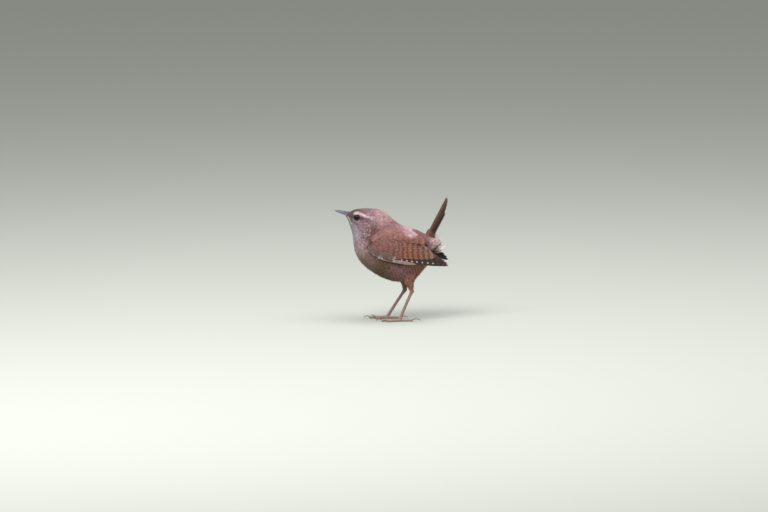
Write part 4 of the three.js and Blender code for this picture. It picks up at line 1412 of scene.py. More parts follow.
@dataclass
class Wing:
    """One folded wing: the arm under its small coverts, the rows of coverts and the flight feathers."""

    side: Side
    wrist: Pair = (-13.6, 41.3)
    tip: Pair = (33.1, 32.7)
    face_first: float = -18.0
    face_last: float = 36.0
    face_halves: tuple[float, ...] = (11.4, 14.5, 15.55, 15.0, 12.0, 8.7, 6.3)
    face_round: float = 23.0
    middle_height: float = 41.4
    middle_fall: float = 0.19
    far_lift: float = 3.0
    far_drop: float = 0.28
    bar: float = 3.05
    bar_at: float = 17.05
    bar_lean: float = 0.1
    below: Pairs = (
        (-15.0, 43.6), (-13.2, 40.7), (-10.6, 38.5), (-7.2, 36.9), (-2.9, 36.0), (5.4, 34.4), (11.6, 33.7),
    )
    above: Pairs = (
        (-14.4, 44.8), (-12.0, 48.4), (-8.6, 50.8), (-4.0, 52.0), (2.0, 51.8), (8.0, 49.8), (12.8, 44.6),
    )
    thick: float = 4.6
    roundness: float = 2.25
    spotted: tuple[int, ...] = (4,)
    shares: tuple[float, ...] = (0.605, 0.93, 0.985, 1.0, 0.98, 0.945, 0.905, 0.865, 0.825, 0.79)

    def half(self, x: Values, z: Values) -> Values:
        """Half the bird's width over the wings at (x, z)."""
        count = len(self.face_halves) - 1
        place = np.clip((x - self.face_first) / (self.face_last - self.face_first), 0, 1) * count
        off = (z - (self.middle_height - self.middle_fall * x)) / self.face_round
        wide = spline(np.array(self.face_halves)[:, None], place)[:, 0]
        return wide * np.sqrt(np.maximum(0, 1 - off * off))

    def lay(self, x: Values, z: Values, depth: Values) -> Values:
        """Places (x, z) on the wing's outer face, depth further in along its normal."""
        step = 0.2
        slope_x = (self.half(x + step, z) - self.half(x - step, z)) / (2 * step)
        slope_z = (self.half(x, z + step) - self.half(x, z - step)) / (2 * step)
        out = normalised(np.stack([-slope_x, np.ones_like(slope_x), -slope_z], axis=1))
        at = np.stack([x, self.half(x, z), z], axis=1) - out * depth[:, None]
        if self.side is Side.RIGHT:
            dropped = 1 - self.far_drop * smoothstep(26, self.tip[0], x)
            at[:, 2] += self.far_lift * smoothstep(0, 24, x) * dropped
        at[:, 1] *= self.side.value
        return at

    def arm(self, finish: Material) -> Object:
        """Makes the arm, a smooth closed form that the small coverts grow from."""
        count, sides = 70, 56
        t = np.linspace(0, len(self.below) - 1, count)
        low, high = spline(np.array(self.below), t), spline(np.array(self.above), t)
        up, out = superellipse(sides, self.roundness)
        share = t / t[-1]
        full = np.sin(math.pi * mix(0.17, 0.9, share)) ** (2 / self.roundness)
        face = mix(0.75, 1.3, smoothstep(0.7, 0.9, share))
        flat = ((low + high) / 2)[:, None] + ((high - low) / 2)[:, None] * up[:, None]
        depth = face[:, None] + self.thick / 2 * (1 - full[:, None] * out)
        rings = self.lay(flat[..., 0].ravel(), flat[..., 1].ravel(), depth.ravel()).reshape(count, sides, 3)
        arm = make_piece(f"arm_{self.side.name.lower()}", *closed_tube(rings), finish)
        self.describe(arm.data)
        return arm

    def describe(self, mesh: Mesh) -> None:
        """Stores on the arm all that its coat needs to know."""
        points = read_points(mesh)
        normals = np.zeros(len(points) * 3)
        mesh.vertices.foreach_get("normal", normals)
        normals = normals.reshape(-1, 3)
        back = np.array([self.tip[0] - self.wrist[0], 0, self.tip[1] - self.wrist[1]])
        lie = np.tile(back / np.linalg.norm(back), (len(points), 1))
        droop = smoothstep(-6.0, -15.0, points[:, 0]) * 0.9 + smoothstep(46.0, 52.0, points[:, 2]) * 0.35
        lie[:, 2] -= droop * np.where(points[:, 2] > 44.5, 1.0, -0.6)
        lie = normalised(lie - normals * (lie * normals).sum(1)[:, None])
        length = mix(2.1, 3.9, smoothstep(-14.0, 0.0, points[:, 0]))
        inner = normals[:, 1] * self.side.value < 0.05
        ragged = 0.9 * np.sin(points[:, 2] * 2.1) + 0.7 * np.sin(points[:, 2] * 5.3 + 1)
        under_quills = points[:, 0] > 5.0 + (points[:, 2] - 42) * 0.75 + ragged
        low_edge = np.interp(points[:, 0], *np.array(self.below).T)
        marginal = (points[:, 2] < low_edge + 2.3) & (points[:, 0] > -13.0)
        spots = np.stack([(points[:, 0] + 20) / 60, (points[:, 2] - 30) / 60], axis=1)
        spots[:, 1] += 0.4 * inner
        shown = points + lie * (length * 0.7)[:, None]
        store(mesh, lie=lie, zone=Zone[f"WING_{self.side.name}"].value, feather_length=length * MM,
              feather_rise=0.75 * MM, bare=(inner | under_quills | marginal).astype(float), speckled=0.5,
              tone=plumage_tones(points, WING_AREAS, WING_MARKINGS), OFBake=spots,
              coat_tone=plumage_tones(shown, WING_AREAS, WING_MARKINGS),
              barred=0.8 * smoothstep(-9.0, 2.0, points[:, 0]))

    def bars(self, x: Values, z: Values) -> Values:
        """Counts the dark bars from the one near the secondaries' tips."""
        return (x - self.bar_at + self.bar_lean * (z - 40)) / self.bar

    def row(self, count: int, roots: Pairs, tips: Pairs, width: float, depths: Pair, quill: Quill,
            sink: float) -> list[Vane]:
        """A row of vanes from its lowest to its highest one."""
        vanes = []
        chance = np.random.default_rng(count)
        for i in range(count):
            t = i / (count - 1)
            root = tuple(mix(np.array(roots[0]), np.array(roots[1]), t))
            tip = tuple(mix(np.array(tips[0]), np.array(tips[1]), t) + (chance.normal(0, 0.3), 0.0))
            vanes.append(Vane(root, tip, width, mix(*depths, t), quill.value, tilt=-0.2, sink=sink))
        return vanes

    def primaries(self) -> list[Vane]:
        """The flight feathers of the hand, the short outermost one first."""
        reach = math.hypot(self.tip[0] - self.wrist[0], self.tip[1] - self.wrist[1])
        vanes = []
        for i, share in enumerate(self.shares):
            rise = max(0.0, (i - 3) / (len(self.shares) - 4))
            steer = -0.262 if i == 0 else mix(-0.185, -0.027, rise)
            ahead = (math.cos(steer) * reach * share, math.sin(steer) * reach * share)
            tip = (self.wrist[0] + ahead[0], self.wrist[1] + ahead[1])
            t = i / (len(self.shares) - 1)
            root = (mix(-9.0, -4.0, t), mix(37.9, 42.0, t))
            quill = Quill.SPOTTED_PRIMARY if i in self.spotted else Quill.PRIMARY
            quill = quill if i else Quill.OUTER_PRIMARY
            vanes.append(Vane(root, tip, 2.0 if i == 0 else 3.2, mix(1.35, 1.15, t) if i else 0.95,
                              quill.value, tilt=-0.2))
        return vanes

    def build(self, finish: Material) -> Object:
        """Makes the rows of flight feathers and coverts as one piece.

        Args:
            finish: the vanes' material.

        Returns:
            The piece.
        """
        name = f"wing_feathers_{self.side.name.lower()}"
        maker = VaneMaker(name, self.lay, self.bars, 5 + self.side.value)
        vanes = self.primaries()
        for count, roots, tips, width, depths, quill, sink in (
            (7, ((-6, 40.2), (-3, 44.5)), ((25.6, 38.2), (21.9, 42.4)), 4.0, (1.0, 0.7),
             Quill.SECONDARY, 1.4),
            (5, ((-2, 44.9), (-1, 49.4)), ((21.2, 43.0), (13.6, 49.0)), 4.2, (0.62, 0.3),
             Quill.TERTIAL, 1.6),
            (6, ((-12.6, 40.3), (-11.0, 42.0)), ((1.4, 35.7), (2.2, 38.8)), 1.7, (0.75, 0.65),
             Quill.PRIMARY_COVERT, 0.5),
            (11, ((-6.6, 39.8), (0.4, 48.6)), ((5.2, 38.2), (9.4, 47.6)), 2.3, (0.55, 0.3),
             Quill.GREATER_COVERT, 1.2),
            (3, ((-14.4, 42.2), (-13.8, 43.4)), ((-6.0, 37.3), (-5.6, 39.0)), 1.5, (0.5, 0.5),
             Quill.ALULA, 0.3),
            (13, ((-13.6, 43.3), (-3.6, 39.2)), ((-11.8, 41.2), (0.2, 37.0)), 1.15, (0.2, 0.3),
             Quill.MARGINAL, 0.5),
            (12, ((-13.9, 44.3), (-3.4, 40.4)), ((-11.6, 42.2), (0.2, 38.4)), 1.25, (0.12, 0.2),
             Quill.MARGINAL, 0.5),
            (10, ((-14.0, 45.3), (-3.4, 41.7)), ((-11.5, 43.4), (0.0, 39.9)), 1.4, (0.05, 0.1),
             Quill.MARGINAL, 0.6),
        ):
            vanes += self.row(count, roots, tips, width, depths, quill, sink)
        for vane in vanes:
            maker.add(vane)
        return maker.build(finish)


@dataclass
class Shoulder:
    """The long soft scapulars of one side, which bridge the back and the top edge of the wing.

    Attributes:
        edge: the wing's top edge, as (x, z) in millimetres.
        over: how far they reach down over the wing.
        above: how far up the back they start.
        under_back: how far under the back's outline they start at least.
        pale_above: the (x, z) line above which they take the back's tones, pale with the back's painted sky
            highlight.
    """

    wing: Wing
    body: Body
    edge: Pairs = (
        (-12.0, 49.4), (-7.0, 51.8), (-1.0, 52.9), (5.0, 52.8), (9.5, 51.6), (13.0, 49.8), (16.0, 47.4),
    )
    over: float = 3.2
    above: float = 3.2
    under_back: float = 2.0
    pale_above: Pairs = ((-2.0, 57.5), (2.4, 54.0), (6.5, 50.8), (10.0, 50.4), (13.0, 51.2), (20.0, 49.0))

    def bed(self, finish: Material) -> Object:
        """Makes the fold of skin that the feathers grow from."""
        rows, columns = 90, 26
        line = spline(np.array(self.edge), np.linspace(0, len(self.edge) - 1, rows))
        c = np.linspace(0, 1, columns)
        fade = np.sin(math.pi * np.linspace(0.12, 0.94, rows)) ** 0.6
        side = self.wing.side.value
        grid = np.zeros((rows, columns, 3))
        for i, (x, z) in enumerate(line):
            above, over = self.above * fade[i], self.over * fade[i]
            high = min(z + above, self.body.back_height(x - 1.0) - self.under_back)
            top = np.array([x - 1.0, side * (self.body.half_width(x - 1.0, high) - 1.3), high])
            if side > 0:
                top[2] += self.wing.far_lift * float(smoothstep(0, self.wing.tip[0], np.array(x))) * 0.3
            ends = self.wing.lay(np.array([x, x]), np.array([z - over, z + 0.35]), np.array([0.45, 0.25]))
            upper = (1 - c)[:, None] ** 2 * top + (2 * c * (1 - c))[:, None] * ends[1]
            grid[i] = upper + c[:, None] ** 2 * ends[0]
        faces = []
        for i in range(rows - 1):
            for k in range(columns - 1):
                a = i * columns + k
                face = [a, a + 1, a + columns + 1, a + columns]
                faces.append(face if side < 0 else face[::-1])
        points = grid.reshape(-1, 3)
        a, b, d = points[faces[len(faces) // 2]][[0, 1, 3]]
        if np.cross(b - a, d - a)[1] * side < 0:
            faces = [face[::-1] for face in faces]
        bed = make_piece(f"shoulder_{self.wing.side.name.lower()}", points, faces, finish)
        share = np.tile(c, rows)
        self.describe(bed.data, share, np.repeat(np.linspace(0, 1, rows), columns))
        wall = bed.modifiers.new("wall", "SOLIDIFY")
        wall.thickness = 0.25 * MM
        wall.offset = -1.0
        return bed

    def describe(self, mesh: Mesh, share: Values, along: Values) -> None:
        """Stores on the fold all that its feathers need to know."""
        points = read_points(mesh)
        back = self.body.lie(points)
        down = np.tile(normalised(np.array([0.93, 0.0, -0.36])), (len(points), 1))
        near = plumage_tones(points)
        far = plumage_tones(points + [2.5, 0, -1.0], WING_AREAS, WING_MARKINGS)
        # Above this line the scapulars share the back's pale tone, which is a painted sky highlight.
        brown = points[:, 2] - np.interp(points[:, 0], *zip(*self.pale_above))
        tone = mix(near, far, smoothstep(0.9, -1.3, brown)[:, None])
        store(mesh, lie=normalised(mix(back, down, share[:, None])), bare=0.0, speckled=0.6, tone=tone,
              zone=Zone[f"SHOULDER_{self.wing.side.name}"].value, coat_tone=tone,
              feather_length=mix(3.0, 4.2, share * along) * MM, feather_rise=mix(1.0, 0.6, share) * MM,
              barred=0.8 * share * smoothstep(0.2, 0.7, along),
              OFBake=np.stack([0.05 + 0.9 * along, 0.05 + 0.4 * share], axis=1))


@dataclass
class Tail:
    """The cocked tail: six pairs of feathers in steps under the middle pair."""

    root: Pair = (17.6, 44.8)
    angle: float = 62.7
    length: float = 30.0
    width: float = 3.9
    pairs: int = 6
    spread: float = 0.85
    step: float = 0.44
    roll: float = 0.1
    out: Pair = (0.25, 0.16)
    shorter: float = 0.0108
    loose: float = 0.7
    bar: float = 1.45
    roundness: float = 2.6

    def bars(self, u: Values, v: Values) -> Values:
        """Counts the dark bars from the tail's root."""
        return (u + 0.25 * np.abs(v)) / self.bar

    def lay(self, u: Values, v: Values, depth: Values) -> Values:
        """Places u along the tail, v across it and depth below its upper face."""
        angle = math.radians(self.angle)
        deep = depth + self.roll * np.abs(v)
        x = self.root[0] + math.cos(angle) * u + math.sin(angle) * deep
        z = self.root[1] + math.sin(angle) * u - math.cos(angle) * deep
        return np.stack([x, -v, z], axis=1)

    def base(self, finish: Material) -> Object:
        """Makes the closed form round the quills' roots that the tail coverts grow from."""
        count, sides = 60, 48
        u = np.linspace(-6.0, 7.0, count)
        share = smoothstep(-6.0, 7.0, u)
        low = mix(-0.9, 0.1, share)
        high = mix(4.6, 3.1, share)
        wide = mix(3.6, 2.2, share)
        close = np.sqrt(np.clip((7.05 - u) / 1.0, 0.0, 1.0))
        up, out = superellipse(sides, self.roundness)
        depth = ((low + high) / 2)[:, None] - ((high - low) / 2 * close)[:, None] * up
        across = (wide * close)[:, None] * out
        along = np.tile(u[:, None], (1, sides))
        rings = self.lay(along.ravel(), across.ravel(), depth.ravel()).reshape(count, sides, 3)
        base = make_piece("tail_base", *closed_tube(rings), finish)
        points = read_points(base.data)
        angle = math.radians(self.angle)
        axis = np.array([math.cos(angle), 0, math.sin(angle)])
        up_tail = (points - [self.root[0], 0, self.root[1]]) @ axis
        below = (points - [self.root[0], 0, self.root[1]]) @ np.array([axis[2], 0, -axis[0]])
        tone = mix(linear("#a57c74"), linear("#7d5548"), smoothstep(-4, 6, up_tail)[:, None])
        store(base.data, lie=np.tile(axis, (len(points), 1)), zone=Zone.TAIL.value, feather_rise=0.5 * MM,
              feather_length=mix(3.6, 4.6, smoothstep(-6, 7, up_tail)) * MM, tone=tone, coat_tone=tone,
              bare=((up_tail > 5.6) | (below > 4.0)).astype(float), barred=0.4, speckled=0.4,
              OFBake=np.stack([(up_tail + 8) / 40, (points[:, 1] + 6) / 40 + (below > 2) * 0.4], axis=1))
        return base

    def build(self, finish: Material) -> Object:
        """Makes the tail feathers as one piece.

        Args:
            finish: the vanes' material.

        Returns:
            The piece.
        """
        maker = VaneMaker("tail_feathers", self.lay, self.bars, 21, columns=11)
        for pair in range(self.pairs - 1, -1, -1):
            outermost = pair == self.pairs - 1
            quill = Quill.OUTER_TAIL if outermost else Quill.TAIL if pair else Quill.MIDDLE_TAIL
            for side in Side:
                turn = math.radians(self.spread) * pair
                reach = self.length * (1 - self.shorter * pair**2)
                out = self.out[0] + self.out[1] * pair
                tip = (reach * math.cos(turn), side.value * (out + reach * math.sin(turn)))
                depth = self.step * pair + (0.15 if side is Side.RIGHT else 0.0)
                depth += self.loose if outermost else 0.0
                maker.add(Vane((-2.0, side.value * out * 0.6), tip, self.width, depth, quill.value))
        return maker.build(finish, thick=0.14)


@dataclass
class Bill:
    """The bill's two halves, with nostrils, and the soft corners of the mouth."""

    root: Pair = (-24.6, 61.6)
    tip: Pair = (-33.3, 64.0)
    upper_depth: float = 1.5
    lower_depth: float = 1.3
    width: float = 2.9
    arch: float = 0.2
    taper: float = 0.58
    blunt: float = 0.07
    inside: float = 0.12
    nostril: Pair = (0.3, 1.0)
    gape_from: Pair = (-26.9, 62.1)
    gape_to: Pair = (-25.5, 61.1)

    def middle(self, t: Values) -> Values:
        """The line where the two halves meet, from the root to the tip."""
        root, tip = np.array(self.root), np.array(self.tip)
        up = np.array([tip[1] - root[1], root[0] - tip[0]]) / np.linalg.norm(tip - root)
        t = np.asarray(t)[:, None]
        return mix(root, tip, t) + up * self.arch * 2 * t * (1 - t)

    def half(self, upper: bool, finish: Material) -> Object:
        """Makes the upper or the lower half.

        Args:
            upper: whether it is the upper one.
            finish: its material.

        Returns:
            The piece.
        """
        t = np.concatenate([np.linspace(-self.inside, 0.9, 110), np.linspace(0.905, 1.0, 24)])
        flat = self.middle(t)
        along = normalised(np.gradient(flat, axis=0))
        up = np.stack([along[:, 1], -along[:, 0]], axis=1)
        size = np.maximum(self.blunt, np.clip(1 - t, 0, 1) ** self.taper)
        size = size * np.sqrt(np.clip((1.012 - t) / 0.03, 0.05, 1))
        turn = np.linspace(0, math.pi, 40)
        flank = np.cos(turn)
        rise = np.sin(turn) ** (0.85 if upper else 0.95)
        under = np.linspace(-0.94, 0.94, 14)
        across = np.concatenate([flank, under])
        high = np.concatenate([rise, np.full(14, 0.03)])
        sign = 1.0 if upper else -1.0
        wide = (self.width / 2) * (1.0 if upper else 0.9)
        depth = self.upper_depth if upper else self.lower_depth
        side = across[None, :] * wide * size[:, None]
        height = high[None, :] * depth * size[:, None]
        if upper:
            height = height + 0.1 * np.exp(-((across / 0.16) ** 2)) * size[:, None] * (high > 0.5)
            off = np.hypot((t[:, None] - self.nostril[0]) * 9.0 / (self.nostril[1] / 2),
                           (height / np.maximum(size[:, None], 0.2) - 0.62) / 0.24)
            off = np.where((high > 0.05)[None, :], off, 9.0)
            pit = 1 - smoothstep(0.55, 1.05, off)
            lip = np.exp(-(((off - 1.35) / 0.3) ** 2)) * (height > 0.6 * size[:, None])
            side = side * (1 - 0.3 * pit + 0.06 * lip)
            height = height * (1 - 0.1 * pit)
        else:
            pit = np.zeros_like(height)
        base = flat[:, None, :] + up[:, None, :] * sign * (height + 0.02)[..., None]
        rings = np.stack([base[..., 0], side, base[..., 1]], axis=-1)
        piece = make_piece("bill_top" if upper else "bill_bottom", *closed_tube(rings), finish)
        dark, pale = linear("#444b6c"), linear("#777282")
        ridge, point = linear("#34343f"), linear("#3c353c")
        share = np.tile((high if upper else 0.35 + 0.2 * high)[None, :], (len(t), 1))
        if upper:
            tone = mix(pale, dark, smoothstep(0.02, 0.45, share)[..., None])
            tone = mix(tone, ridge, smoothstep(0.75, 1.0, share)[..., None])
        else:
            tone = mix(pale, dark, (0.25 + 0.2 * high)[None, :, None] * np.ones((len(t), 1, 1)))
        tone = mix(tone, point, smoothstep(0.55, 0.95, t)[:, None, None] * 0.6)
        # Painted shade: the nostril pit is darkened where its recess would fall into shade.
        tone = tone * (1 - 0.8 * pit[..., None])
        ends = np.stack([tone[0].mean(0), tone[-1].mean(0)])
        store(piece.data, tone=np.vstack([tone.reshape(-1, 4), ends]))
        return piece

    def gapes(self, body: Body, finish: Material) -> Object:
        """Makes the soft pale corners of the mouth, a low fold on each side."""
        t = np.linspace(0, 1, 30)
        line = mix(np.array(self.gape_from), np.array(self.gape_to), t[:, None])
        line[:, 0] -= 0.35 * np.sin(math.pi * t)
        parts, tones = [], []
        for side in Side:
            out = np.array([max(1.3, body.half_width(x, z)) for x, z in line])
            out = np.convolve(np.pad(out, 4, mode="edge"), np.ones(9) / 9, mode="valid") - 0.28
            path = np.stack([line[:, 0], side.value * out, line[:, 1]], axis=1)
            radius = 0.15 * np.sin(math.pi * mix(0.12, 0.95, t)) ** 0.8
            parts.append(closed_tube(rings_along(path, np.stack([radius, radius * 0.8], axis=1), 14)))
            shade = mix(linear("#8d8078"), linear("#a39788"), t[:, None])
            tones.append(capped(np.repeat(shade[:, None], 14, axis=1)))
        piece = make_piece("gapes", *merge(parts), finish)
        store(piece.data, tone=np.vstack(tones))
        return piece


@dataclass
class Eye:
    """One eye in its lids."""

    side: Side
    at: Pair = (-20.3, 60.4)
    radius: float = 1.85
    sunk: float = 0.92
    facing: Pair = (-0.3, 0.12)
    opening: Pair = (1.52, 1.4)
    lid: float = 0.09

    def axes(self, body: Body) -> tuple[Values, Values, Values, Values]:
        """The ball's centre, the way it faces, and the ways along the head and up from there."""
        side = self.side.value
        centre = np.array([self.at[0], side * (body.half_width(*self.at) - self.sunk), self.at[1]])
        out = normalised(np.array([self.facing[0], side, self.facing[1]], float))
        ahead = np.array([-1.0, 0.0, 0.22])
        ahead = normalised(ahead - out * (ahead @ out))
        up = np.cross(out, ahead) * (1 if np.cross(out, ahead)[2] > 0 else -1)
        return centre, out, ahead, up

    def ball(self, body: Body, finish: Material) -> Object:
        """Makes the eyeball, with its pupil and iris as tones, and a slight cornea."""
        centre, out, ahead, up = self.axes(body)
        polar = np.linspace(0.01, math.pi - 0.01, 60)
        turn = around(64)
        round_ = np.cos(turn)[:, None] * ahead + np.sin(turn)[:, None] * up
        swell = 1 + 0.045 * np.exp(-((polar / 0.5) ** 2))
        rings = centre + self.radius * swell[:, None, None] * (
            np.cos(polar)[:, None, None] * out + np.sin(polar)[:, None, None] * round_
        )
        piece = make_piece(f"eyeball_{self.side.name.lower()}", *closed_tube(rings), finish)
        pupil, iris, edge = (linear(code) for code in ("#040303", "#120b09", "#080505"))
        tone = mix(pupil, iris, smoothstep(0.36, 0.4, polar)[:, None])
        tone = mix(tone, edge, smoothstep(0.62, 0.72, polar)[:, None])
        store(piece.data, tone=capped(np.repeat(tone[:, None], 64, axis=1)))
        return piece

    def lids(self, body: Body, finish: Material) -> Object:
        """Makes the rim of the lids, darker above and pale below, with its corners drawn out."""
        centre, out, ahead, up = self.axes(body)
        turn = around(96)
        rings, tones = [], []
        dark, pale = linear("#33272a"), linear("#927d7a")
        for step, (grow, thick, lift) in enumerate(((0.0, 1.0, 0.0), (0.14, 0.8, -0.06))):
            point = np.abs(np.cos(turn)) ** 6 * 0.16
            wide = (self.opening[0] + point + grow) * np.cos(turn)
            high = (self.opening[1] + grow) * np.sin(turn)
            reach = np.hypot(wide, high)
            ball = self.radius + 0.1 + lift
            deep = np.sqrt(np.maximum(ball**2 - reach**2, 0.05))
            path = centre + deep[:, None] * out + wide[:, None] * ahead + high[:, None] * up
            middle = normalised(path - centre)
            away = normalised(path - centre - out * ((path - centre) @ out)[:, None])
            small = around(12)
            wrinkle = 1 + 0.12 * np.sin(turn * 23 + step * 2)
            loop = path[:, None] + self.lid * thick * wrinkle[:, None, None] * (
                np.cos(small)[None, :, None] * middle[:, None] + np.sin(small)[None, :, None] * away[:, None]
            )
            rings.append(loop)
            share = smoothstep(0.0, -0.7, np.sin(turn))[:, None] * (0.9 if step else 0.25)
            tones.append(np.repeat(mix(dark, pale, share), 12, axis=0))
        parts = []
        for loop in rings:
            faces = []
            count, sides = loop.shape[:2]
            for a in range(count):
                b = (a + 1) % count
                for k in range(sides):
                    n = (k + 1) % sides
                    faces.append([a * sides + k, a * sides + n, b * sides + n, b * sides + k])
            points = loop.reshape(-1, 3)
            if enclosed(points - centre, faces) < 0:
                faces = [face[::-1] for face in faces]
            parts.append((points, faces))
        piece = make_piece(f"lids_{self.side.name.lower()}", *merge(parts), finish)
        store(piece.data, tone=np.vstack(tones))
        return piece


@dataclass(frozen=True)
class Toe:
    """One toe: its turn from straight ahead in degrees, its length and its claw's length."""

    turn: float
    length: float
    claw: float


@dataclass
class Shank:
    """A bare leg and its foot, flat on the floor."""

    leg: Leg
    across: float = 0.66
    deep: float = 0.86
    knob: float = 1.25
    ankle: float = 0.2
    scutes: int = 9
    scute: float = 0.1
    toes: tuple[Toe, ...] = (
        Toe(-24, 7.6, 2.9), Toe(1, 10.6, 3.3), Toe(25, 8.2, 2.9), Toe(HIND_TURN, 7.4, 4.7),
    )
    toe_root: float = 0.8
    toe_tip: float = 0.55
    toe_height: float = 0.64
    pad: float = 0.14
    claw_root: float = 0.42
    claw_tip: float = 0.07
    arch: float = 0.85

    def tarsus(self, finish: Material) -> Object:
        """Makes the bare leg from the heel to the foot, scutes in front and a smooth plate behind."""
        heel, foot = self.leg.place("heel"), self.leg.place("foot")
        t = np.linspace(-0.03, 1, 220)
        bow = np.array([0.35, 0, 0.1]) * np.sin(math.pi * np.clip(t, 0, 1))[:, None]
        path = mix(heel, foot, t[:, None]) - bow * 0.6
        knob = (self.knob - self.deep) * np.exp(-((t / 0.07) ** 2))
        ankle = self.ankle * np.exp(-(((1 - t) / 0.08) ** 2))
        sizes = np.stack([self.across + knob + ankle, self.deep + knob + ankle], axis=1)
        rings = rings_along(path, sizes, 36)
        outward = normalised(rings - path[:, None])
        front = smoothstep(0.15, 0.75, -outward[..., 0])
        share = (t * self.scutes) % 1
        rise = self.scute * (share**0.6 - 0.5) * (t > 0.02) * (t < 0.98)
        rings = rings + outward * (rise[:, None] * front)[..., None]
        piece = make_piece(f"shank_{self.leg.side.name.lower()}", *closed_tube(rings), finish)
        flesh, deep = linear("#8f726d"), linear("#5a4340")
        # Painted shade: the creases between the scutes are darkened towards the deep brown, and the smooth
        # rear plate a little too.
        crease_shade = smoothstep(0.16, 0.0, np.minimum(share, 1 - share))[:, None] * front
        tone = mix(flesh, deep, np.clip(crease_shade * 0.75 + 0.15 * (1 - front), 0, 1)[..., None])
        # Painted shade: the top of the leg, under the thigh feathers, is darkened towards the deep brown.
        knee_shade = np.exp(-((t / 0.12) ** 2))[:, None, None]
        tone = mix(tone, deep, 0.35 * knee_shade)
        store(piece.data, tone=capped(tone))
        return piece

    def digit(self, toe: Toe) -> tuple[Values, Values, Values, Values]:
        """One toe's and its claw's rings, and their tones."""
        foot = self.leg.place("foot")
        angle = math.radians(180 - toe.turn * self.leg.side.value)
        ahead = np.array([math.cos(angle), math.sin(angle), 0.0])
        t = np.linspace(0, 1, 90)
        heights = spline(
            np.array([[1.0], [self.toe_height + 0.08], [self.toe_height], [self.toe_height]]), t * 3
        )
        path = foot * [1, 1, 0] + ahead * (t * toe.length)[:, None] + np.array([0, 0, 1]) * heights
        joints = 2 if toe.turn == HIND_TURN else 3
        pad = self.pad * np.cos(math.pi * joints * t) ** 2
        radius = mix(self.toe_root, self.toe_tip, t) + pad
        radius = radius * np.where(t > 0.97, np.sqrt(np.clip((1.03 - t) / 0.06, 0.2, 1)), 1)
        level = np.cross(ahead, (0, 0, 1))
        rings = rings_along(path, np.stack([radius * 0.92, radius], axis=1), 24, level)
        outward = normalised(rings - path[:, None])
        top = smoothstep(0.1, 0.8, outward[..., 2])
        scute = (t * toe.length / 1.05) % 1
        rings = rings + outward * ((scute**0.6 - 0.5) * 0.09)[:, None, None] * top[..., None]
        below = smoothstep(0.1, -0.7, outward[..., 2])
        rings[..., 2] = np.maximum(rings[..., 2], 0.0)
        pale, line, sole = (linear(code) for code in ("#957f78", "#5d4b46", "#80705f"))
        # Painted shade: the creases between the toes' scutes are darkened.
        crease_shade = smoothstep(0.2, 0.0, np.minimum(scute, 1 - scute))[:, None] * top
        tone = mix(mix(pale, line, (crease_shade * 0.7)[..., None]), sole, below[..., None])
        s = np.linspace(0, 1, 60)
        tip = toe.length
        knots = np.array([
            [tip - 0.9, self.toe_height + 0.12], [tip + toe.claw * 0.35, self.toe_height + self.arch],
            [tip + toe.claw * 0.8, self.toe_height + self.arch * 0.6], [tip + toe.claw, 0.12],
        ])
        arc = spline(knots, s * 3)
        claw_path = foot * [1, 1, 0] + ahead * arc[:, :1] + np.array([0, 0, 1]) * arc[:, 1:]
        thin = mix(self.claw_root, self.claw_tip, s**0.9)
        claw = rings_along(claw_path, np.stack([thin * 0.72, thin], axis=1), 16, level)
        claw[..., 2] = np.maximum(claw[..., 2], 0.0)
        return rings, tone, claw, s

    def foot(self, skin: Material, horn: Material) -> list[Object]:
        """Makes the toes with their pads and scutes, and the claws.

        Args:
            skin: the toes' material.
            horn: the claws' material.

        Returns:
            The toes' piece and the claws' piece.
        """
        name = self.leg.side.name.lower()
        parts, tones, claws, claw_tones = [], [], [], []
        for toe in self.toes:
            rings, tone, claw, s = self.digit(toe)
            parts.append(closed_tube(rings))
            tones.append(capped(tone))
            claws.append(closed_tube(claw))
            shade = mix(linear("#8c7a6c"), linear("#4c4038"), s[:, None])
            claw_tones.append(capped(np.repeat(shade[:, None], 16, axis=1)))
        polar = np.linspace(0.02, math.pi - 0.02, 30)
        turn = around(32)
        ball = np.stack([
            1.25 * np.sin(polar)[:, None] * np.cos(turn), 1.1 * np.sin(polar)[:, None] * np.sin(turn),
            np.tile(0.88 * np.cos(polar)[:, None], (1, 32)),
        ], axis=-1) + self.leg.place("foot") * [1, 1, 0] + [0, 0, 0.8]
        ball[..., 2] = np.maximum(ball[..., 2], 0.0)
        parts.append(closed_tube(ball))
        tones.append(np.tile(linear("#8e7770"), (30 * 32 + 2, 1)))
        toes = make_piece(f"toes_{name}", *merge(parts), skin)
        store(toes.data, tone=np.vstack(tones))
        nails = make_piece(f"claws_{name}", *merge(claws), horn)
        store(nails.data, tone=np.vstack(claw_tones))
        return [toes, nails]


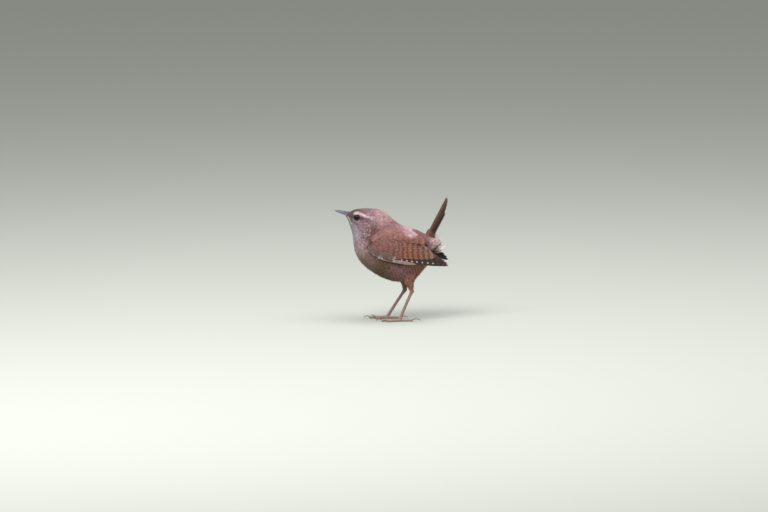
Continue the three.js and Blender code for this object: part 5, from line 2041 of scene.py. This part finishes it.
@dataclass
class Plumes:
    """The loose undertail coverts: soft plumes with pale tips, in tiers under the tail.

    Attributes:
        tiers: for each tier its depth under the tail's upper face, its lean from the tail in degrees, its
            reach, how far it spreads across and how many plumes it has.
        root: where the plumes start along the tail.
        barbs: how many barbs a plume has on each side of its shaft.
    """

    tail: Tail
    tiers: tuple[tuple[float, ...], ...] = (
        (4.4, 5, 14.2, 3.2, 7), (4.9, 11, 13.4, 4.6, 9), (5.5, 18, 12.4, 5.8, 10), (6.1, 24, 11.2, 6.6, 10),
        (6.4, 31, 10.2, 6.6, 9), (6.6, 38, 9.2, 6.0, 8), (6.6, 45, 8.2, 5.4, 7),
    )
    root: float = -3.5
    barbs: int = 22
    width: float = 3.8

    def build(self, finish: Material) -> Object:
        """Makes all the plumes as one piece.

        Args:
            finish: the contour feathers' material.

        Returns:
            The piece.
        """
        chance = np.random.default_rng(3)
        points, faces, spots, tones, owns = [], [], [], [], []
        grey, buff, white = (linear(code) for code in ("#5d4740", "#a58579", "#e9dcda"))
        for depth, lean, reach, across, count in self.tiers:
            for k in range(int(count)):
                side = (k + 0.5) / count * 2 - 1 + chance.normal(0, 0.06)
                own = chance.random()
                long = reach * (1 - 0.16 * side**2) * chance.uniform(0.88, 1.1)
                tilt = math.radians(lean + chance.normal(0, 5))
                fan = side * 0.42 + chance.normal(0, 0.08)
                for barb in range(2 * self.barbs):
                    edge = -1 if barb < self.barbs else 1
                    start = (barb % self.barbs + 0.5) / self.barbs
                    length = self.width / 2 * math.sin(math.pi * min(1.0, 0.25 + 0.75 * start)) ** 0.5
                    length *= chance.uniform(0.8, 1.15) * (0.75 if start > 0.9 else 1)
                    s = np.array([0.0, 0.4, 0.75, 1.0])
                    ahead = start * long * 0.92 + s * length * 0.75 + s**2 * length * 0.3
                    out = edge * (s * length * 0.8 - s**2 * length * 0.12)
                    curl = 0.35 * s**2 * length * chance.uniform(-0.4, 1.0)
                    half = 0.11 * np.array([1.0, 0.9, 0.7, 0.12])
                    first = len(points)
                    for i in range(4):
                        for rim in (-1, 1):
                            u = self.root + (ahead[i] + rim * half[i]) * math.cos(tilt)
                            d = depth + (ahead[i] + rim * half[i]) * math.sin(tilt) + curl[i]
                            d += 0.1 * out[i] ** 2
                            v = side * across / 2 + out[i] + (ahead[i]) * math.sin(fan)
                            points.append((u, v, d))
                            share = min(1.0, max(0.0, (ahead[i] / long - 0.35) / 0.5))
                            tone = mix(grey, buff, min(1.0, share * 1.6))
                            tones.append(mix(tone, white, share**1.5))
                            spots.append((0.35 + 0.6 * s[i], 0.5 + 0.4 * rim))
                            owns.append(own)
                    for i in range(3):
                        a = first + 2 * i
                        faces.append([a, a + 2, a + 3, a + 1] if edge > 0 else [a, a + 1, a + 3, a + 2])
        u, v, d = np.array(points).T
        piece = make_piece("undertail_coverts", self.tail.lay(u, v, d), faces, finish)
        store(piece.data, coat_tone=np.array(tones), own=np.array(owns), barred=0.0, speckled=0.0,
              barb=np.array(spots), OFBake=np.stack([(u + 5) / 40, (v + 8) / 60 + d / 60], axis=1))
        return piece


@dataclass
class Stage:
    """The floor, the light and the camera."""

    target: tuple[float, float, float] = (-0.00464, 0.0, 0.0374)
    distance: float = 4.9493
    elevation: float = 7.0
    lens: float = 400.0
    backdrop: str = "#cdcfca"
    floor: str = "#adb0aa"
    sky: float = 0.75
    reach: float = 3000.0

    def build(self) -> None:
        """Makes the floor, the world, the lights and the camera."""
        scene = bpy.context.scene
        scene.view_settings.view_transform = "Standard"
        scene.view_settings.look = "None"
        world = bpy.data.worlds.new("studio")
        world.use_nodes = True
        feed(world.node_tree.nodes["Background"], {"Color": linear(self.backdrop), "Strength": self.sky})
        scene.world = world
        corners = np.array([[-1, -1, 0], [1, -1, 0], [1, 1, 0], [-1, 1, 0]]) * self.reach
        floor = make_piece("floor", corners, [[0, 1, 2, 3]], FLOOR_PAINT.make())
        store(floor.data, tone=np.tile(linear(self.floor), (4, 1)))
        self.light("key", (-0.35, -0.6, 0.75), 0.5, 9.5)
        self.light("sky", (0.15, -0.1, 0.95), 0.9, 9.5)
        self.camera()

    def light(self, name: str, at: tuple[float, float, float], size: float, power: float) -> None:
        """Adds a soft square light that faces the bird."""
        lamp = bpy.data.lights.new(name, "AREA")
        lamp.shape = "SQUARE"
        lamp.size = size
        lamp.energy = power
        piece = bpy.data.objects.new(name, lamp)
        piece.location = at
        aim = Vector(self.target) - Vector(at)
        piece.rotation_euler = aim.to_track_quat("-Z", "Y").to_euler()
        bpy.context.scene.collection.objects.link(piece)

    def camera(self) -> None:
        """Adds the camera, level with the photo's view of the bird's left side."""
        lens = bpy.data.cameras.new("camera")
        lens.lens = self.lens
        lens.sensor_width = 36.0
        lens.clip_end = 50.0
        angle = math.radians(self.elevation)
        back = Vector((0.0, -math.cos(angle), math.sin(angle)))
        camera = bpy.data.objects.new("camera", lens)
        camera.location = Vector(self.target) + back * self.distance
        camera.rotation_euler = (-back).to_track_quat("-Z", "Y").to_euler()
        bpy.context.scene.collection.objects.link(camera)
        bpy.context.scene.camera = camera


FINE_TUFT = Tuft(barbs=5, parting=0.5, fan=0.45, thin=0.7, ragged=0.16)
SOFT_TUFT = Tuft(barbs=7, parting=0.5, fan=0.6, thin=0.66, ragged=0.22)
BROAD_TUFT = Tuft(barbs=9, parting=0.62, fan=0.45, thin=0.75, ragged=0.12)

COATS = (
    Coat(Zone.FACE, 0.165, FINE_TUFT, width=0.55, rise=0.8, unruly=0.9),
    Coat(Zone.HEAD, 0.22, FINE_TUFT, width=0.52, rise=0.9, unruly=0.9),
    Coat(Zone.NECK, 0.33, SOFT_TUFT, width=0.46),
    Coat(Zone.BREAST, 0.37, SOFT_TUFT, width=0.48),
    Coat(Zone.MANTLE, 0.42, BROAD_TUFT, width=0.5),
    Coat(Zone.BELLY, 0.4, SOFT_TUFT, unruly=1.2),
    Coat(Zone.FLANK, 0.38, SOFT_TUFT, unruly=1.2),
    Coat(Zone.RUMP, 0.4, BROAD_TUFT, width=0.5, unruly=1.1),
    Coat(Zone.THIGH, 0.3, SOFT_TUFT, unruly=1.2),
    Coat(Zone.VENT, 0.36, SOFT_TUFT, width=0.5, length=1.0, rise=0.8, unruly=1.4),
)


def main() -> None:
    """Builds the wren, sub-assembly by sub-assembly, and its stage."""
    logging.basicConfig(level=logging.INFO, format="%(message)s")
    feathers = ContourFeathers().make()
    down = FeatheredSkin().make()
    vanes = Vanes().make()
    coverts_finish = WING_COAT.make()
    planting = Planting()
    body = Body()
    skin = Skin(body).build(down)
    settle(skin, Slot.PLUMAGE, "head", "neck", "torso", "rump", "thigh_left", "thigh_right")
    log.info("skin: %d faces", len(skin.data.polygons))
    for coat in COATS:
        settle(coat.plant(planting, skin, feathers), Slot.PLUMAGE)
    for side in Side:
        wing = Wing(side)
        arm = wing.arm(down)
        settle(arm, Slot.PLUMAGE)
        coverts = Coat(Zone[f"WING_{side.name}"], 0.42, BROAD_TUFT, width=0.6, unruly=0.5)
        settle(coverts.plant(planting, arm, coverts_finish), Slot.PLUMAGE)
        shoulder = Shoulder(wing, body).bed(down)
        scapulars = Coat(Zone[f"SHOULDER_{side.name}"], 0.36, BROAD_TUFT, width=0.5, unruly=0.8)
        settle(scapulars.plant(planting, shoulder, coverts_finish), Slot.PLUMAGE)
        settle(harden(shoulder), Slot.PLUMAGE)
        settle(wing.build(vanes), Slot.FLIGHT, f"wing_{side.name.lower()}")
    tail = Tail()
    settle(tail.build(vanes), Slot.FLIGHT, "tail")
    base = tail.base(down)
    settle(base, Slot.PLUMAGE)
    settle(Coat(Zone.TAIL, 0.4, BROAD_TUFT, unruly=1.0).plant(planting, base, feathers), Slot.PLUMAGE)
    settle(Plumes(tail).build(feathers), Slot.PLUMAGE)
    log.info("wings and tail: done")
    horn, lid_skin, wet = BILL_HORN.make(), LID_SKIN.make(), WET_EYE.make()
    bill = Bill()
    settle(bill.half(True, horn), Slot.BILL, "bill_upper")
    settle(bill.half(False, horn), Slot.BILL, "bill_lower")
    settle(bill.gapes(body, lid_skin), Slot.BILL)
    for side in Side:
        eye = Eye(side)
        settle(eye.ball(body, wet), Slot.EYE, f"eye_{side.name.lower()}")
        settle(eye.lids(body, lid_skin), Slot.LEG)
    log.info("face: done")
    leg_skin, claw_horn = LEG_SKIN.make(), CLAW_HORN.make()
    for leg in LEGS:
        shank, name = Shank(leg), leg.side.name.lower()
        settle(shank.tarsus(leg_skin), Slot.LEG, f"tarsus_{name}")
        toes, claws = shank.foot(leg_skin, claw_horn)
        settle(toes, Slot.LEG, f"foot_{name}")
        settle(claws, Slot.LEG)
    log.info("legs: done")
    Stage().build()


if __name__ == "__main__":
    main()
